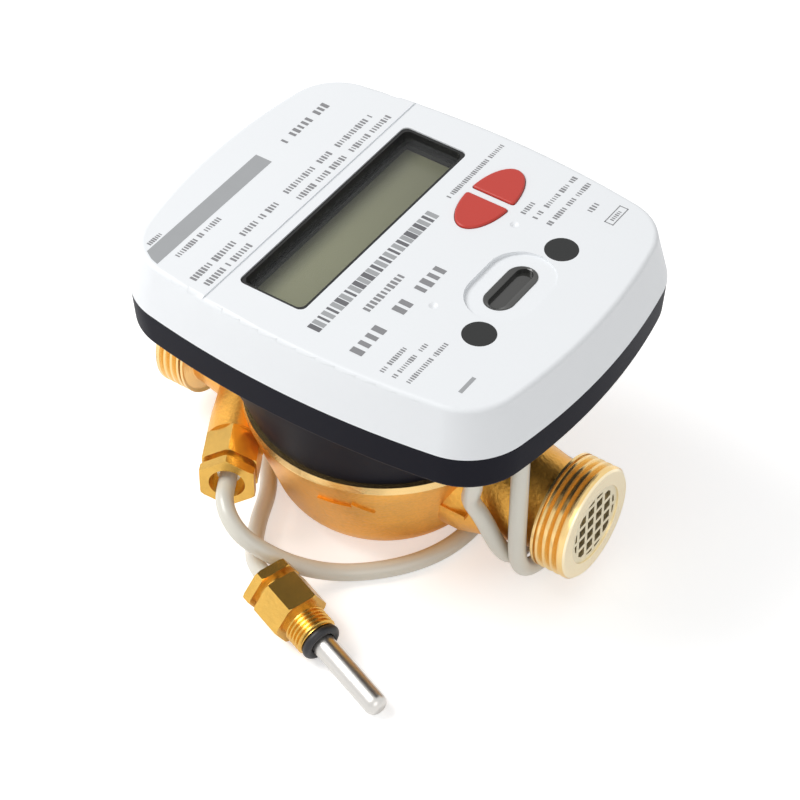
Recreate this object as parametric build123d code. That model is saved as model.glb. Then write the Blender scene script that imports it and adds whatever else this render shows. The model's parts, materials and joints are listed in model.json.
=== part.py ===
from build123d import *
import math
import os

# Compact heat meter: a brass flow body with a bladed impeller, a calculator head that turns on
# its rim, one temperature probe screwed into the body and one free probe on a cable.
# X runs along the pipe, Z is up, and the origin is the middle of the flat pad below the chamber.
# All sizes are in millimetres.

# Pipe and its end threads
BODY_LENGTH = 110.0
PIPE_HEIGHT = 19.0
BORE_RADIUS = 7.5
CREST_RADIUS = 13.22
CORE_RADIUS = 12.06
THREAD_PITCH = 1.814
THREAD_GROOVES = 4
THREAD_LENGTH = 8.7
END_BAND = 1.6
END_CHAMFER = 0.75
GROOVE_HALF_WIDTH = 0.62
GROOVE_FLAT = 0.12
NECK_RADIUS = 10.2
NECK_ROOT_RADIUS = 14.2
NECK_MIDDLE_RADIUS = 12.2
NECK_MIDDLE_X = 35.0
RELIEF_LENGTH = 0.9
HEAD_ROOM = 1.5

# Measuring chamber, a bowl on the pipe
PAD_RADIUS = 12.8
BOWL_CORNER = 13.0
BOWL_DRAFT = 18.0
BOWL_TOP = 28.0
RIM_RADIUS = 31.3
RIM_THICKNESS = 2.2
SPIGOT_RADIUS = 28.0
SPIGOT_HEIGHT = 5.8
CHAMBER_RADIUS = 22.0
CHAMBER_FLOOR = 5.0
CHAMBER_TOP = 24.0
SEAT_RADIUS = 25.0
RIM_FACE = BOWL_TOP + RIM_THICKNESS
SPIGOT_TOP = RIM_FACE + SPIGOT_HEIGHT

# Raised flow arrow on the bowl
ARROW_LENGTH = 12.0
ARROW_WIDTH = 6.0
ARROW_SHAFT = 3.4
ARROW_HEAD = 4.0
ARROW_X = 8.8
ARROW_HEIGHT = 20.4
ARROW_RELIEF = 0.5
RIB_WIDTH = 1.0
RIB_RELIEF = 0.4
RIB_REACH = 29.5

# Strainer disc in the outlet end
STRAINER_RADIUS = 9.3
STRAINER_THICKNESS = 1.5
STRAINER_INSET = 0.3
HOLE_PITCH = 3.3
HOLE_SIDE = 2.3
HOLE_FIELD = 7.9

# Impeller, its shaft and the parts that close the chamber
SHAFT_RADIUS = 1.0
RUNNING_CLEARANCE = 0.05
SEATING_CLEARANCE = 0.02
IMPELLER_BOTTOM = 9.0
IMPELLER_TOP = 21.2
HUB_RADIUS = 4.0
BLADE_COUNT = 8
BLADE_RADIUS = 20.0
BLADE_THICKNESS = 1.2
BEARING_RADIUS = 3.0
BEARING_GAP = 0.3
SIGNAL_DISC_RADIUS = 13.0
SIGNAL_DISC_THICKNESS = 0.5
PLATE_THICKNESS = 3.0
SEAL_THICKNESS = 1.6
SEAL_WIDTH = 3.0
LOCK_RING_HEIGHT = 5.0
LOCK_RING_BORE = 17.0
KEY_SLOT = 3.0

# Temperature probes, measured from the rear face towards the tip
HEX_FLATS = 12.0
COLLAR_LENGTH = 2.3
GROOVE_LENGTH = 1.7
GROOVE_RADIUS = 4.8
HEX_LENGTH = 8.0
PROBE_THREAD_LENGTH = 6.0
PROBE_CREST = 4.9
PROBE_CORE = 4.35
PROBE_PITCH = 1.0
PROBE_LENGTH = 40.0
TUBE_RADIUS = 2.6
TIP_ROUNDING = 2.0
SEAL_SECTION = 1.0
CABLE_RECESS_RADIUS = 4.0
CABLE_RECESS_DEPTH = 3.0
HEX_FRONT = COLLAR_LENGTH + GROOVE_LENGTH + HEX_LENGTH
THREAD_FRONT = HEX_FRONT + PROBE_THREAD_LENGTH

# Port for the return probe, slanting off the inlet arm towards the front
PORT_START_X = -36.5
PORT_TURN = 28.4
PORT_REAR = 40.1
PORT_BOSS_RADIUS = 6.6
PORT_ROOT_RADIUS = 6.2
PORT_BORE = 5.0
PORT_TUBE_BORE = 3.0

# The free probe lies on the surface, front edge of its hexagon and tip down
FREE_PROBE_X = 0.5
FREE_PROBE_Y = -45.0
FREE_PROBE_TURN = -17.4

# Calculator head, seen from above a rounded rectangle with bulged sides
HEAD_CENTRE_X = 3.9
HEAD_HALF_X = 51.1
HEAD_HALF_Y = 42.4
HEAD_BULGE_X = 5.2
HEAD_BULGE_Y = 4.9
HEAD_CORNER = 15.5
DISH_BOTTOM = 55.6
PARTING = 64.7
FACE = 76.0
COVER_TAPER = 13.5
BAND_TAPER = 4.0
HEAD_WALL = 2.6
COVER_THICKNESS = 2.0
DISH_FLOOR = 2.0
COVER_EDGE = 1.2
DISH_EDGE = 1.5
CEILING = FACE - COVER_THICKNESS
DISH_TOP = DISH_BOTTOM + DISH_FLOOR

# Round boss under the dish that turns on the spigot
BOSS_FOOT_RADIUS = 30.0
BOSS_INSET = 4.3
BOSS_TOP_RADIUS = HEAD_HALF_Y - BOSS_INSET
BOSS_FLARE = 1.0
BOSS_FLARE_RADIUS = BOSS_TOP_RADIUS + BOSS_FLARE
BOSS_FLARE_HEIGHT = 3.6
BOSS_WALL = 2.5
TURNING_CLEARANCE = 0.08
PARTITION_BOTTOM = 37.0
PARTITION_THICKNESS = 2.5
PARTITION_TOP = PARTITION_BOTTOM + PARTITION_THICKNESS

# Gasket between dish and cover
GASKET_INSET = 0.8
GASKET_WIDTH = 1.0
GASKET_HEIGHT = 1.2

# Circuit board and its screws
BOARD_INSET = 6.0
BOARD_BOTTOM = 62.4
BOARD_THICKNESS = 1.6
BOARD_TOP = BOARD_BOTTOM + BOARD_THICKNESS
POST_RADIUS = 2.6
SCREW_RADIUS = 1.0
SCREW_HEAD_RADIUS = 2.0
SCREW_HEAD_HEIGHT = 1.3
POST_PLACES = [(-31.0, -27.0), (-31.0, 27.0), (34.0, -30.0), (42.0, 20.0)]

# Display
DISPLAY_X = -7.2
WINDOW_X = 16.4
WINDOW_Y = 60.4
WINDOW_CORNER = 1.6
LENS_THICKNESS = 1.2
LENS_CLEARANCE = 0.05
FRAME_X = 20.4
FRAME_Y = 65.0
FRAME_OPENING_X = 13.2
FRAME_OPENING_Y = 56.8
PANEL_X = 16.8
PANEL_Y = 60.6
PANEL_THICKNESS = 2.6
PANEL_DEPTH = 4.6
PANEL_TOP = FACE - PANEL_DEPTH
LENS_DEPTH = 2.0
UPSTAND_WALL = 0.7
UPSTAND_INSET = 0.3
STRIP_WIDTH = 2.2
STRIP_LENGTH = 56.0

# Fine line across the face beside the display
LINE_X = -17.9
LINE_WIDTH = 0.5
LINE_DEPTH = 0.3

# The two halves of the oval key pad
KEYS_X = 13.1
KEYS_Y = 20.4
KEYS_HALF_X = 5.25
KEYS_HALF_Y = 10.95
KEY_RIB = 1.9
KEY_CORNER = 0.7
KEY_CLEARANCE = 0.15
KEY_PROUD = 0.5
KEY_TRAVEL = 0.6
KEY_FLANGE = 0.8
KEY_FLANGE_THICKNESS = 1.2
KEY_STEM_RADIUS = 1.8
SWITCH_SIDE = 6.0
SWITCH_BODY = 3.4
SWITCH_PLUNGER_RADIUS = 1.6
SWITCH_TOP = 69.0
SWITCH_GAP = 0.1

# Optical port: oval recess, slotted window, two steel discs
OPTIC_X = 31.6
SLOT_LENGTH = 14.8
SLOT_WIDTH = 4.9
SLOT_FLANGE = 1.2
SLOT_WALL = 0.5
SLOT_PANE_DEPTH = 1.6
RECESS_LENGTH = 22.6
RECESS_WIDTH = 15.2
RECESS_DEPTH = 0.55
RECESS_TILT = 3.0
DISC_X = 34.1
DISC_Y = 15.4
DISC_RADIUS = 3.6
DISC_THICKNESS = 1.0
DIODE_RADIUS = 1.5
DIODE_Y = 3.6
DIODE_GAP = 1.5
MARK_X = 21.8
MARK_PLACES = [-13.7, 16.4]
MARK_RADIUS = 1.0
MARK_DEPTH = 0.4

# Battery with its cradle, pick-up coils, terminal block
BATTERY_RADIUS = 7.25
BATTERY_LENGTH = 50.5
BATTERY_Y = 14.0
BATTERY_GAP = 2.15
BATTERY_HEIGHT = BOARD_BOTTOM - BATTERY_GAP - BATTERY_RADIUS
CRADLE_LENGTH = 36.0
CRADLE_WIDTH = 16.0
CRADLE_CLEARANCE = 0.1
COIL_RING_RADIUS = 9.0
PICKUP_RADIUS = 3.0
PICKUP_CORE_RADIUS = 1.0
PICKUP_HEIGHT = 4.5
TERMINAL_X = 12.0
TERMINAL_Y = -22.0
TERMINAL_SIZE = (8.0, 20.0, 7.5)
TERMINAL_POLES = 4

# Cable glands under the dish and the cables
CABLE_RADIUS = 2.0
CABLE_GAP = 0.03
GLAND_LENGTH = 8.0
GLAND_BOTTOM = DISH_BOTTOM - GLAND_LENGTH
GLAND_FLANGE_RADIUS = 5.0
GLAND_FLANGE = 1.5
GLAND_NOSE_RADIUS = 2.8
GLAND_BODY_RADIUS = 4.2
GLAND_STEM_RADIUS = 3.4
RETURN_GLAND_GAP = 1.9
RETURN_GLAND_ANGLE = -17.2
SUPPLY_GLAND_GAP = 0.4
SUPPLY_GLAND_ANGLE = -30.4
COIL_CENTRE = (-20.0, 60.0)
COIL_MEAN_RADIUS = 25.3
COIL_WIDTH = 16.8
COIL_HEIGHT = 8.2
COIL_ROUNDING = 3.0
TIE_THICKNESS = 0.8
TIE_WIDTH = 6.0
TIE_ANGLE = 70.0
TIE_CLEARANCE = 0.03


def cylinder(radius, low, high, x=0.0, y=0.0):
    """An upright round bar between two heights."""
    upright = (Align.CENTER, Align.CENTER, Align.MIN)
    return Pos(x, y, low) * Cylinder(radius, high - low, align=upright)


def ring(outer, inner, low, high, x=0.0, y=0.0):
    """An upright tube between two heights."""
    return cylinder(outer, low, high, x, y) - cylinder(inner, low - 1, high + 1, x, y)


def block(size_x, size_y, low, high, x=0.0, y=0.0):
    """An upright box between two heights."""
    upright = (Align.CENTER, Align.CENTER, Align.MIN)
    return Pos(x, y, low) * Box(size_x, size_y, high - low, align=upright)


def turned(points):
    """A solid turned about Z from (radius, height) points."""
    outline = Polyline(*[(r, 0, z) for r, z in points], close=True)
    return revolve(make_face(outline), Axis.Z)


def raised(sketch, low, high, taper=0.0):
    """A flat outline drawn at z = 0 pulled up between two heights."""
    return extrude(Pos(0, 0, low) * sketch, amount=high - low, dir=(0, 0, 1), taper=taper)


def hexagon(flats, low, high, chamfer_length):
    """A hexagonal bar with its corners turned off at both ends."""
    corner = flats / math.sqrt(3)
    bar = raised(RegularPolygon(corner, 6), low, high)
    rim = corner - chamfer_length
    half = flats / 2
    rise = chamfer_length * math.tan(math.radians(30))
    limits = turned([(0, low), (rim, low), (corner, low + rise), (corner, high - rise),
                     (rim, high), (0, high)])
    return bar & limits if half < rim else bar


def head_outline(grow=0.0):
    """The rounded, bulged plan of the head, made larger or smaller all round."""
    half_x = HEAD_HALF_X + grow
    half_y = HEAD_HALF_Y + grow
    corner_x = half_x - HEAD_BULGE_X
    corner_y = half_y - HEAD_BULGE_Y
    right = ThreePointArc((corner_x, -corner_y), (half_x, 0), (corner_x, corner_y))
    back = ThreePointArc((corner_x, corner_y), (0, half_y), (-corner_x, corner_y))
    left = ThreePointArc((-corner_x, corner_y), (-half_x, 0), (-corner_x, -corner_y))
    front = ThreePointArc((-corner_x, -corner_y), (0, -half_y), (corner_x, -corner_y))
    plan = make_face([right, back, left, front])
    plan = fillet(plan.vertices(), HEAD_CORNER + grow)
    return Pos(HEAD_CENTRE_X, 0) * plan


def key_plan(side, grow=0.0):
    """One half of the oval key pad; side is 1 for the right half and -1 for the left one."""
    oval = Ellipse(KEYS_HALF_X + grow, KEYS_HALF_Y + grow)
    cut_start = KEY_RIB / 2 - grow
    half = Pos(0, side * (cut_start + KEYS_HALF_Y)) * Rectangle(4 * KEYS_HALF_X, 2 * KEYS_HALF_Y)
    plan = oval & half
    plan = fillet(plan.vertices(), KEY_CORNER)
    return Pos(KEYS_X, KEYS_Y) * plan


def slot_plan(length, width, grow=0.0):
    """A slot with its long axis along Y."""
    return Pos(OPTIC_X, 0) * Rot(0, 0, 90) * SlotOverall(length + 2 * grow, width + 2 * grow)


def gland_place(gap, angle):
    """Point beside the boss's flare, a gap away from it, at an angle about the head's axis."""
    radius = BOSS_FLARE_RADIUS + GLAND_FLANGE_RADIUS + gap
    return (radius * math.cos(math.radians(angle)), radius * math.sin(math.radians(angle)))


def save(name, *solids):
    """Write one piece, or several like pieces, as a node."""
    shape = solids[0] if len(solids) == 1 else Compound(children=list(solids))
    if isinstance(shape, (Part, Compound)) and len(shape.solids()) == 1:
        shape = shape.solids()[0]
    shape.label = name
    export_step(shape, os.path.join("parts", name + ".step"))


# Places and directions of the probes
port_angle = math.radians(PORT_TURN)
PORT_DIRECTION = Vector(math.sin(port_angle), -math.cos(port_angle), 0)
PORT_START = Vector(PORT_START_X, 0, PIPE_HEIGHT)
return_rear = PORT_START + PORT_DIRECTION * PORT_REAR
RETURN_PROBE = Plane(origin=return_rear, x_dir=(0, 0, 1), z_dir=-PORT_DIRECTION).location

hex_half = HEX_FLATS / 2
contact_length = PROBE_LENGTH - TUBE_RADIUS - HEX_FRONT
dip = math.asin((hex_half - TUBE_RADIUS) / contact_length)
free_angle = math.radians(FREE_PROBE_TURN)
FREE_DIRECTION = Vector(math.cos(free_angle) * math.cos(dip), math.sin(free_angle) * math.cos(dip),
                        -math.sin(dip))
free_rear_height = hex_half * math.cos(dip) + HEX_FRONT * math.sin(dip)
FREE_REAR = Vector(FREE_PROBE_X, FREE_PROBE_Y, free_rear_height)
sideways = Vector(-math.sin(free_angle), math.cos(free_angle), 0)
FREE_PROBE = Plane(origin=FREE_REAR, x_dir=sideways, z_dir=FREE_DIRECTION).location


def arm_profile():
    """Half section of the outlet arm: (distance along the pipe, radius)."""
    end = BODY_LENGTH / 2
    thread_start = end - THREAD_LENGTH
    points = [(BODY_LENGTH * 0.18, 0), (BODY_LENGTH * 0.18, NECK_ROOT_RADIUS),
              (CHAMBER_RADIUS + 5, NECK_ROOT_RADIUS), (NECK_MIDDLE_X, NECK_MIDDLE_RADIUS),
              (thread_start - RELIEF_LENGTH, NECK_RADIUS), (thread_start, NECK_RADIUS)]
    crest_start = thread_start + (CREST_RADIUS - NECK_RADIUS) * 0.35
    points.append((crest_start, CREST_RADIUS))
    first = end - END_BAND - GROOVE_HALF_WIDTH
    for index in reversed(range(THREAD_GROOVES)):
        middle = first - index * THREAD_PITCH
        points.append((middle - GROOVE_HALF_WIDTH, CREST_RADIUS))
        points.append((middle - GROOVE_FLAT, CORE_RADIUS))
        points.append((middle + GROOVE_FLAT, CORE_RADIUS))
        points.append((middle + GROOVE_HALF_WIDTH, CREST_RADIUS))
    points.append((end - END_CHAMFER, CREST_RADIUS))
    points.append((end, CREST_RADIUS - END_CHAMFER))
    points.append((end, 0))
    return points


def pipe_arm():
    """One arm of the pipe with its end thread, on the +X side."""
    outline = Polyline(*[(x, 0, PIPE_HEIGHT + r) for x, r in arm_profile()], close=True)
    axis = Axis((0, 0, PIPE_HEIGHT), (1, 0, 0))
    return revolve(make_face(outline), axis)


def port_shape(profile):
    """A solid turned about the port's axis from (radius, distance) points."""
    place = Plane(origin=PORT_START, x_dir=(0, 0, 1), z_dir=PORT_DIRECTION).location
    return place * turned(profile)


def bowl():
    """Outside of the chamber: pad, round corner, drafted wall, rim and spigot."""
    draft = math.radians(BOWL_DRAFT)
    start = (PAD_RADIUS, 0, 0)
    middle_angle = math.radians(-90 + (90 - BOWL_DRAFT) / 2)
    middle = (PAD_RADIUS + BOWL_CORNER * math.cos(middle_angle), 0,
              BOWL_CORNER + BOWL_CORNER * math.sin(middle_angle))
    wall_start = (PAD_RADIUS + BOWL_CORNER * math.cos(draft), 0,
                  BOWL_CORNER - BOWL_CORNER * math.sin(draft))
    wall_top = wall_start[0] + (BOWL_TOP - wall_start[2]) * math.tan(draft)
    corner = ThreePointArc(start, middle, wall_start)
    rest = Polyline(wall_start, (wall_top, 0, BOWL_TOP), (RIM_RADIUS, 0, BOWL_TOP + 0.4),
                    (RIM_RADIUS, 0, RIM_FACE), (SPIGOT_RADIUS, 0, RIM_FACE),
                    (SPIGOT_RADIUS, 0, SPIGOT_TOP), (0, 0, SPIGOT_TOP), (0, 0, 0), start)
    return revolve(make_face([corner, rest]), Axis.Z)


def flow_arrow():
    """Cast arrow that stands proud of the bowl's front."""
    tail = -ARROW_LENGTH / 2
    neck = ARROW_LENGTH / 2 - ARROW_HEAD
    shaft = ARROW_SHAFT / 2
    wing = ARROW_WIDTH / 2
    outline = Polyline((tail, -shaft), (neck, -shaft), (neck, -wing), (ARROW_LENGTH / 2, 0),
                       (neck, wing), (neck, shaft), (tail, shaft), close=True)
    place = Plane(origin=(ARROW_X, -CHAMBER_RADIUS, ARROW_HEIGHT), x_dir=(1, 0, 0), z_dir=(0, -1, 0))
    bar = extrude(place.location * make_face(outline), amount=RIM_RADIUS - CHAMBER_RADIUS)
    draft = math.radians(BOWL_DRAFT)
    wall_radius = PAD_RADIUS + BOWL_CORNER * math.cos(draft)
    wall_low = BOWL_CORNER - BOWL_CORNER * math.sin(draft)
    relief = ARROW_RELIEF / math.cos(draft)
    wall_top = wall_radius + (BOWL_TOP - wall_low) * math.tan(draft)
    skin = turned([(0, wall_low), (wall_radius + relief, wall_low), (wall_top + relief, BOWL_TOP), (0, BOWL_TOP)])
    return bar & skin


def flow_body():
    """The casting: bowl, two arms, probe port and everything bored into it."""
    arm = pipe_arm()
    head_room = cylinder(RIM_RADIUS + HEAD_ROOM, RIM_FACE, SPIGOT_TOP + 10)
    body = bowl() + ((arm + mirror(arm, Plane.YZ)) - head_room)
    boss = port_shape([(0, 6), (PORT_ROOT_RADIUS, 6), (PORT_ROOT_RADIUS, 14),
                       (PORT_BOSS_RADIUS, 20), (PORT_BOSS_RADIUS, PORT_REAR - HEX_FRONT),
                       (0, PORT_REAR - HEX_FRONT)])
    rib = Pos(RIB_REACH / 2 + NECK_MIDDLE_X / 4, 0, PIPE_HEIGHT) * Box(RIB_REACH / 2, 2 * (NECK_ROOT_RADIUS + RIB_RELIEF), RIB_WIDTH)
    body = body + boss + flow_arrow() + rib
    face = PORT_REAR - HEX_FRONT
    spot = port_shape([(0, face), (HEX_FLATS / math.sqrt(3) + 0.5, face),
                       (HEX_FLATS / math.sqrt(3) + 0.5, PORT_REAR), (0, PORT_REAR)])
    pocket = PORT_REAR - THREAD_FRONT - 2 * SEAL_SECTION - 0.2
    bore = port_shape([(0, 0), (PORT_TUBE_BORE, 0), (PORT_TUBE_BORE, pocket), (PORT_BORE, pocket),
                       (PORT_BORE, face), (0, face)])
    chamber = turned([(0, CHAMBER_FLOOR), (CHAMBER_RADIUS, CHAMBER_FLOOR),
                      (CHAMBER_RADIUS, CHAMBER_TOP), (SEAT_RADIUS, CHAMBER_TOP),
                      (SEAT_RADIUS, SPIGOT_TOP), (0, SPIGOT_TOP)])
    pipe = Pos(0, 0, PIPE_HEIGHT) * Rot(0, 90, 0) * Cylinder(BORE_RADIUS, BODY_LENGTH)
    seat_depth = STRAINER_THICKNESS + STRAINER_INSET
    seat = Pos(BODY_LENGTH / 2 - seat_depth / 2, 0, PIPE_HEIGHT) * Rot(0, 90, 0) * Cylinder(
        STRAINER_RADIUS, seat_depth)
    return body - spot - bore - chamber - pipe - seat


def strainer():
    """Round plate with a grid of square holes, cut off by a plain edge."""
    plate = Cylinder(STRAINER_RADIUS - SEATING_CLEARANCE, STRAINER_THICKNESS)
    count = math.ceil(2 * HOLE_FIELD / HOLE_PITCH) + 1
    grid = Sketch() + GridLocations(HOLE_PITCH, HOLE_PITCH, count, count) * Rectangle(HOLE_SIDE, HOLE_SIDE)
    holes = extrude(grid & Circle(HOLE_FIELD), amount=STRAINER_THICKNESS, both=True)
    plate = plate - holes
    x = BODY_LENGTH / 2 - STRAINER_INSET - STRAINER_THICKNESS / 2
    return Pos(x, 0, PIPE_HEIGHT) * Rot(0, 90, 0) * plate


def impeller():
    """Hub with flat radial blades and a thin web."""
    hub = cylinder(HUB_RADIUS, IMPELLER_BOTTOM, IMPELLER_TOP)
    middle = (IMPELLER_BOTTOM + IMPELLER_TOP) / 2
    web = cylinder(BLADE_RADIUS * 0.6, middle - 0.6, middle + 0.6)
    blade = block(BLADE_RADIUS - 1, BLADE_THICKNESS, IMPELLER_BOTTOM + 1, IMPELLER_TOP,
                  (BLADE_RADIUS + 1) / 2, 0)
    wheel = hub + web
    for index in range(BLADE_COUNT):
        wheel = wheel + Rot(0, 0, 360 / BLADE_COUNT * index) * blade
    bore = cylinder(SHAFT_RADIUS + RUNNING_CLEARANCE, IMPELLER_BOTTOM - 1, IMPELLER_TOP + 1)
    return wheel - bore


def signal_disc():
    """Half round steel target on top of the blades."""
    low = IMPELLER_TOP
    high = low + SIGNAL_DISC_THICKNESS
    whole = ring(SIGNAL_DISC_RADIUS, HUB_RADIUS, low, high)
    half = block(2 * SIGNAL_DISC_RADIUS, SIGNAL_DISC_RADIUS, low, high, 0, SIGNAL_DISC_RADIUS / 2)
    return whole & half


def chamber_plate():
    """Lid of the chamber with the pocket of the upper bearing."""
    plate = cylinder(SEAT_RADIUS - SEATING_CLEARANCE, CHAMBER_TOP, CHAMBER_TOP + PLATE_THICKNESS)
    return plate - cylinder(BEARING_RADIUS + SEATING_CLEARANCE, CHAMBER_TOP - 1, CHAMBER_TOP + PLATE_THICKNESS + 1)


def bearing(low, high, bore_low, bore_high):
    """Round bush with a blind or open bore for the shaft."""
    bush = cylinder(BEARING_RADIUS, low, high)
    return bush - cylinder(SHAFT_RADIUS + SEATING_CLEARANCE, bore_low, bore_high)


def lock_ring():
    """Screwed ring that holds the lid, with four key slots."""
    low = CHAMBER_TOP + PLATE_THICKNESS + SEAL_THICKNESS
    high = low + LOCK_RING_HEIGHT
    body = ring(SEAT_RADIUS - SEATING_CLEARANCE, LOCK_RING_BORE, low, high)
    slot = block(2 * SEAT_RADIUS, KEY_SLOT, high - 1.5, high + 1)
    return body - slot - Rot(0, 0, 90) * slot


def probe_adapter():
    """Brass screw of a probe: collar, groove, hexagon and thread, hollow at the rear."""
    collar = hexagon(HEX_FLATS, 0, COLLAR_LENGTH, 0.4)
    hexagon_low = COLLAR_LENGTH + GROOVE_LENGTH
    hexagon_bar = hexagon(HEX_FLATS, hexagon_low, HEX_FRONT, 0.4)
    points = [(0, COLLAR_LENGTH - 0.5), (GROOVE_RADIUS, COLLAR_LENGTH - 0.5),
              (GROOVE_RADIUS, hexagon_low + 0.5), (PROBE_CORE, hexagon_low + 0.5), (PROBE_CORE, HEX_FRONT + 0.6)]
    turns = int(PROBE_THREAD_LENGTH / PROBE_PITCH) - 1
    for index in range(turns):
        start = HEX_FRONT + 0.9 + index * PROBE_PITCH
        points.append((PROBE_CORE, start))
        points.append((PROBE_CREST, start + 0.3))
        points.append((PROBE_CREST, start + 0.55))
        points.append((PROBE_CORE, start + 0.85))
    points.append((PROBE_CORE, THREAD_FRONT))
    points.append((0, THREAD_FRONT))
    body = collar + hexagon_bar + turned(points)
    recess = cylinder(CABLE_RECESS_RADIUS, -1, CABLE_RECESS_DEPTH)
    bore = cylinder(TUBE_RADIUS + SEATING_CLEARANCE, 0, THREAD_FRONT + 1)
    return body - recess - bore


def probe_tube():
    """Closed steel tube with a rounded tip."""
    tube = cylinder(TUBE_RADIUS, CABLE_RECESS_DEPTH, PROBE_LENGTH)
    return fillet(tube.edges().group_by(Axis.Z)[-1], TIP_ROUNDING)


def probe_seal():
    """Round ring in front of the thread."""
    mean = TUBE_RADIUS + RUNNING_CLEARANCE + SEAL_SECTION
    return Pos(0, 0, THREAD_FRONT + SEAL_SECTION + SEATING_CLEARANCE) * Torus(mean, SEAL_SECTION)


def boss_outer():
    """Outside of the boss, from the rim up into the dish."""
    return turned([(0, RIM_FACE), (BOSS_FOOT_RADIUS, RIM_FACE),
                   (BOSS_TOP_RADIUS, DISH_BOTTOM - BOSS_FLARE_HEIGHT),
                   (BOSS_FLARE_RADIUS, DISH_BOTTOM), (BOSS_FLARE_RADIUS, DISH_BOTTOM + 0.5),
                   (0, DISH_BOTTOM + 0.5)])


def boss_radius(height):
    """Outer radius of the boss's straight flank at a height."""
    run = (height - RIM_FACE) / (DISH_BOTTOM - BOSS_FLARE_HEIGHT - RIM_FACE)
    return BOSS_FOOT_RADIUS + run * (BOSS_TOP_RADIUS - BOSS_FOOT_RADIUS)


def gland_hole(place):
    """Hole in the dish for the stem of a cable gland."""
    return cylinder(GLAND_STEM_RADIUS + SEATING_CLEARANCE, DISH_BOTTOM - 1, DISH_TOP + 1, *place)


def base_shell():
    """Black lower housing: dish with an upright band, boss, partition and board posts."""
    outer = extrude(Pos(0, 0, PARTING) * head_outline(), amount=PARTING - DISH_BOTTOM,
                    dir=(0, 0, -1), taper=BAND_TAPER)
    outer = fillet(outer.edges().group_by(Axis.Z)[0], DISH_EDGE)
    shell = outer + boss_outer()
    cavity = raised(head_outline(-HEAD_WALL), DISH_TOP, PARTING + 1)
    skirt_bore = cylinder(SPIGOT_RADIUS + TURNING_CLEARANCE, RIM_FACE - 1, PARTITION_BOTTOM)
    well = turned([(0, PARTITION_TOP), (boss_radius(PARTITION_TOP) - BOSS_WALL, PARTITION_TOP),
                   (boss_radius(DISH_BOTTOM - BOSS_FLARE_HEIGHT) - BOSS_WALL, DISH_BOTTOM - BOSS_FLARE_HEIGHT),
                   (boss_radius(DISH_BOTTOM - BOSS_FLARE_HEIGHT) - BOSS_WALL, DISH_TOP + 1), (0, DISH_TOP + 1)])
    groove_plan = head_outline(-GASKET_INSET) - head_outline(-GASKET_INSET - GASKET_WIDTH)
    groove = raised(groove_plan, PARTING - GASKET_HEIGHT, PARTING + 1)
    shell = shell - cavity - skirt_bore - well - groove
    for x, y in POST_PLACES:
        shell = shell + cylinder(POST_RADIUS, DISH_TOP - 0.5, BOARD_BOTTOM, x, y)
        shell = shell - cylinder(SCREW_RADIUS, DISH_TOP, BOARD_BOTTOM + 1, x, y)
    return shell - gland_hole(return_gland_place) - gland_hole(supply_gland_place)


def cover_gasket():
    """Flat rubber band in the groove of the dish."""
    plan = head_outline(-GASKET_INSET - SEATING_CLEARANCE) - head_outline(
        -GASKET_INSET - GASKET_WIDTH + SEATING_CLEARANCE)
    return raised(plan, PARTING - GASKET_HEIGHT, PARTING)


def optic_recess():
    """Oval recess that runs out to nothing at its outer end."""
    plan = slot_plan(RECESS_LENGTH, RECESS_WIDTH)
    cutter = raised(plan, FACE - RECESS_DEPTH, FACE + 3)
    turn = Pos(OPTIC_X, 0, FACE - RECESS_DEPTH) * Rot(0, -RECESS_TILT, 0) * Pos(-OPTIC_X, 0, RECESS_DEPTH - FACE)
    return turn * cutter


def top_cover():
    """Pale upper housing with all its openings."""
    outer = raised(head_outline(), PARTING, FACE, COVER_TAPER)
    outer = fillet(outer.edges().group_by(Axis.Z)[-1], COVER_EDGE)
    inner = raised(head_outline(-HEAD_WALL), PARTING, CEILING, COVER_TAPER)
    cover = outer - inner
    window = RectangleRounded(WINDOW_X, WINDOW_Y, WINDOW_CORNER)
    cover = cover - raised(Pos(DISPLAY_X, 0) * window, CEILING - 1, FACE + 1)
    cover = cover - block(LINE_WIDTH, 4 * HEAD_HALF_Y, FACE - LINE_DEPTH, FACE + 1, LINE_X)
    for side in (-1, 1):
        cover = cover - raised(key_plan(side, KEY_CLEARANCE), CEILING - 1, FACE + 1)
    cover = cover - optic_recess()
    cover = cover - raised(slot_plan(SLOT_LENGTH, SLOT_WIDTH, LENS_CLEARANCE), CEILING - 1, FACE + 1)
    for side in (-1, 1):
        cover = cover - cylinder(DISC_RADIUS + LENS_CLEARANCE, FACE - DISC_THICKNESS, FACE + 1, DISC_X, side * DISC_Y)
    for y in MARK_PLACES:
        mark = Pos(MARK_X, y, FACE - MARK_DEPTH / 2) * Cone(0.2, MARK_RADIUS, MARK_DEPTH + 0.01)
        cover = cover - mark
    return cover


def display_window(inset):
    """Plan of the display's window, made smaller all round."""
    plan = RectangleRounded(WINDOW_X - 2 * inset, WINDOW_Y - 2 * inset, WINDOW_CORNER)
    return Pos(DISPLAY_X, 0) * plan


def display_frame():
    """Dark frame that holds the display, with an upright edge inside the cover's window."""
    frame = block(FRAME_X, FRAME_Y, BOARD_TOP, CEILING, DISPLAY_X)
    frame = frame + raised(display_window(LENS_CLEARANCE), CEILING - 1, FACE - UPSTAND_INSET)
    lens_seat = FACE - LENS_DEPTH - LENS_THICKNESS
    pocket = block(PANEL_X + 0.1, PANEL_Y + 0.1, BOARD_TOP - 1, PANEL_TOP, DISPLAY_X)
    opening = block(FRAME_OPENING_X, FRAME_OPENING_Y, BOARD_TOP, FACE, DISPLAY_X)
    lens_bed = raised(display_window(LENS_CLEARANCE + UPSTAND_WALL), lens_seat, FACE + 1)
    return frame - pocket - opening - lens_bed


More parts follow.
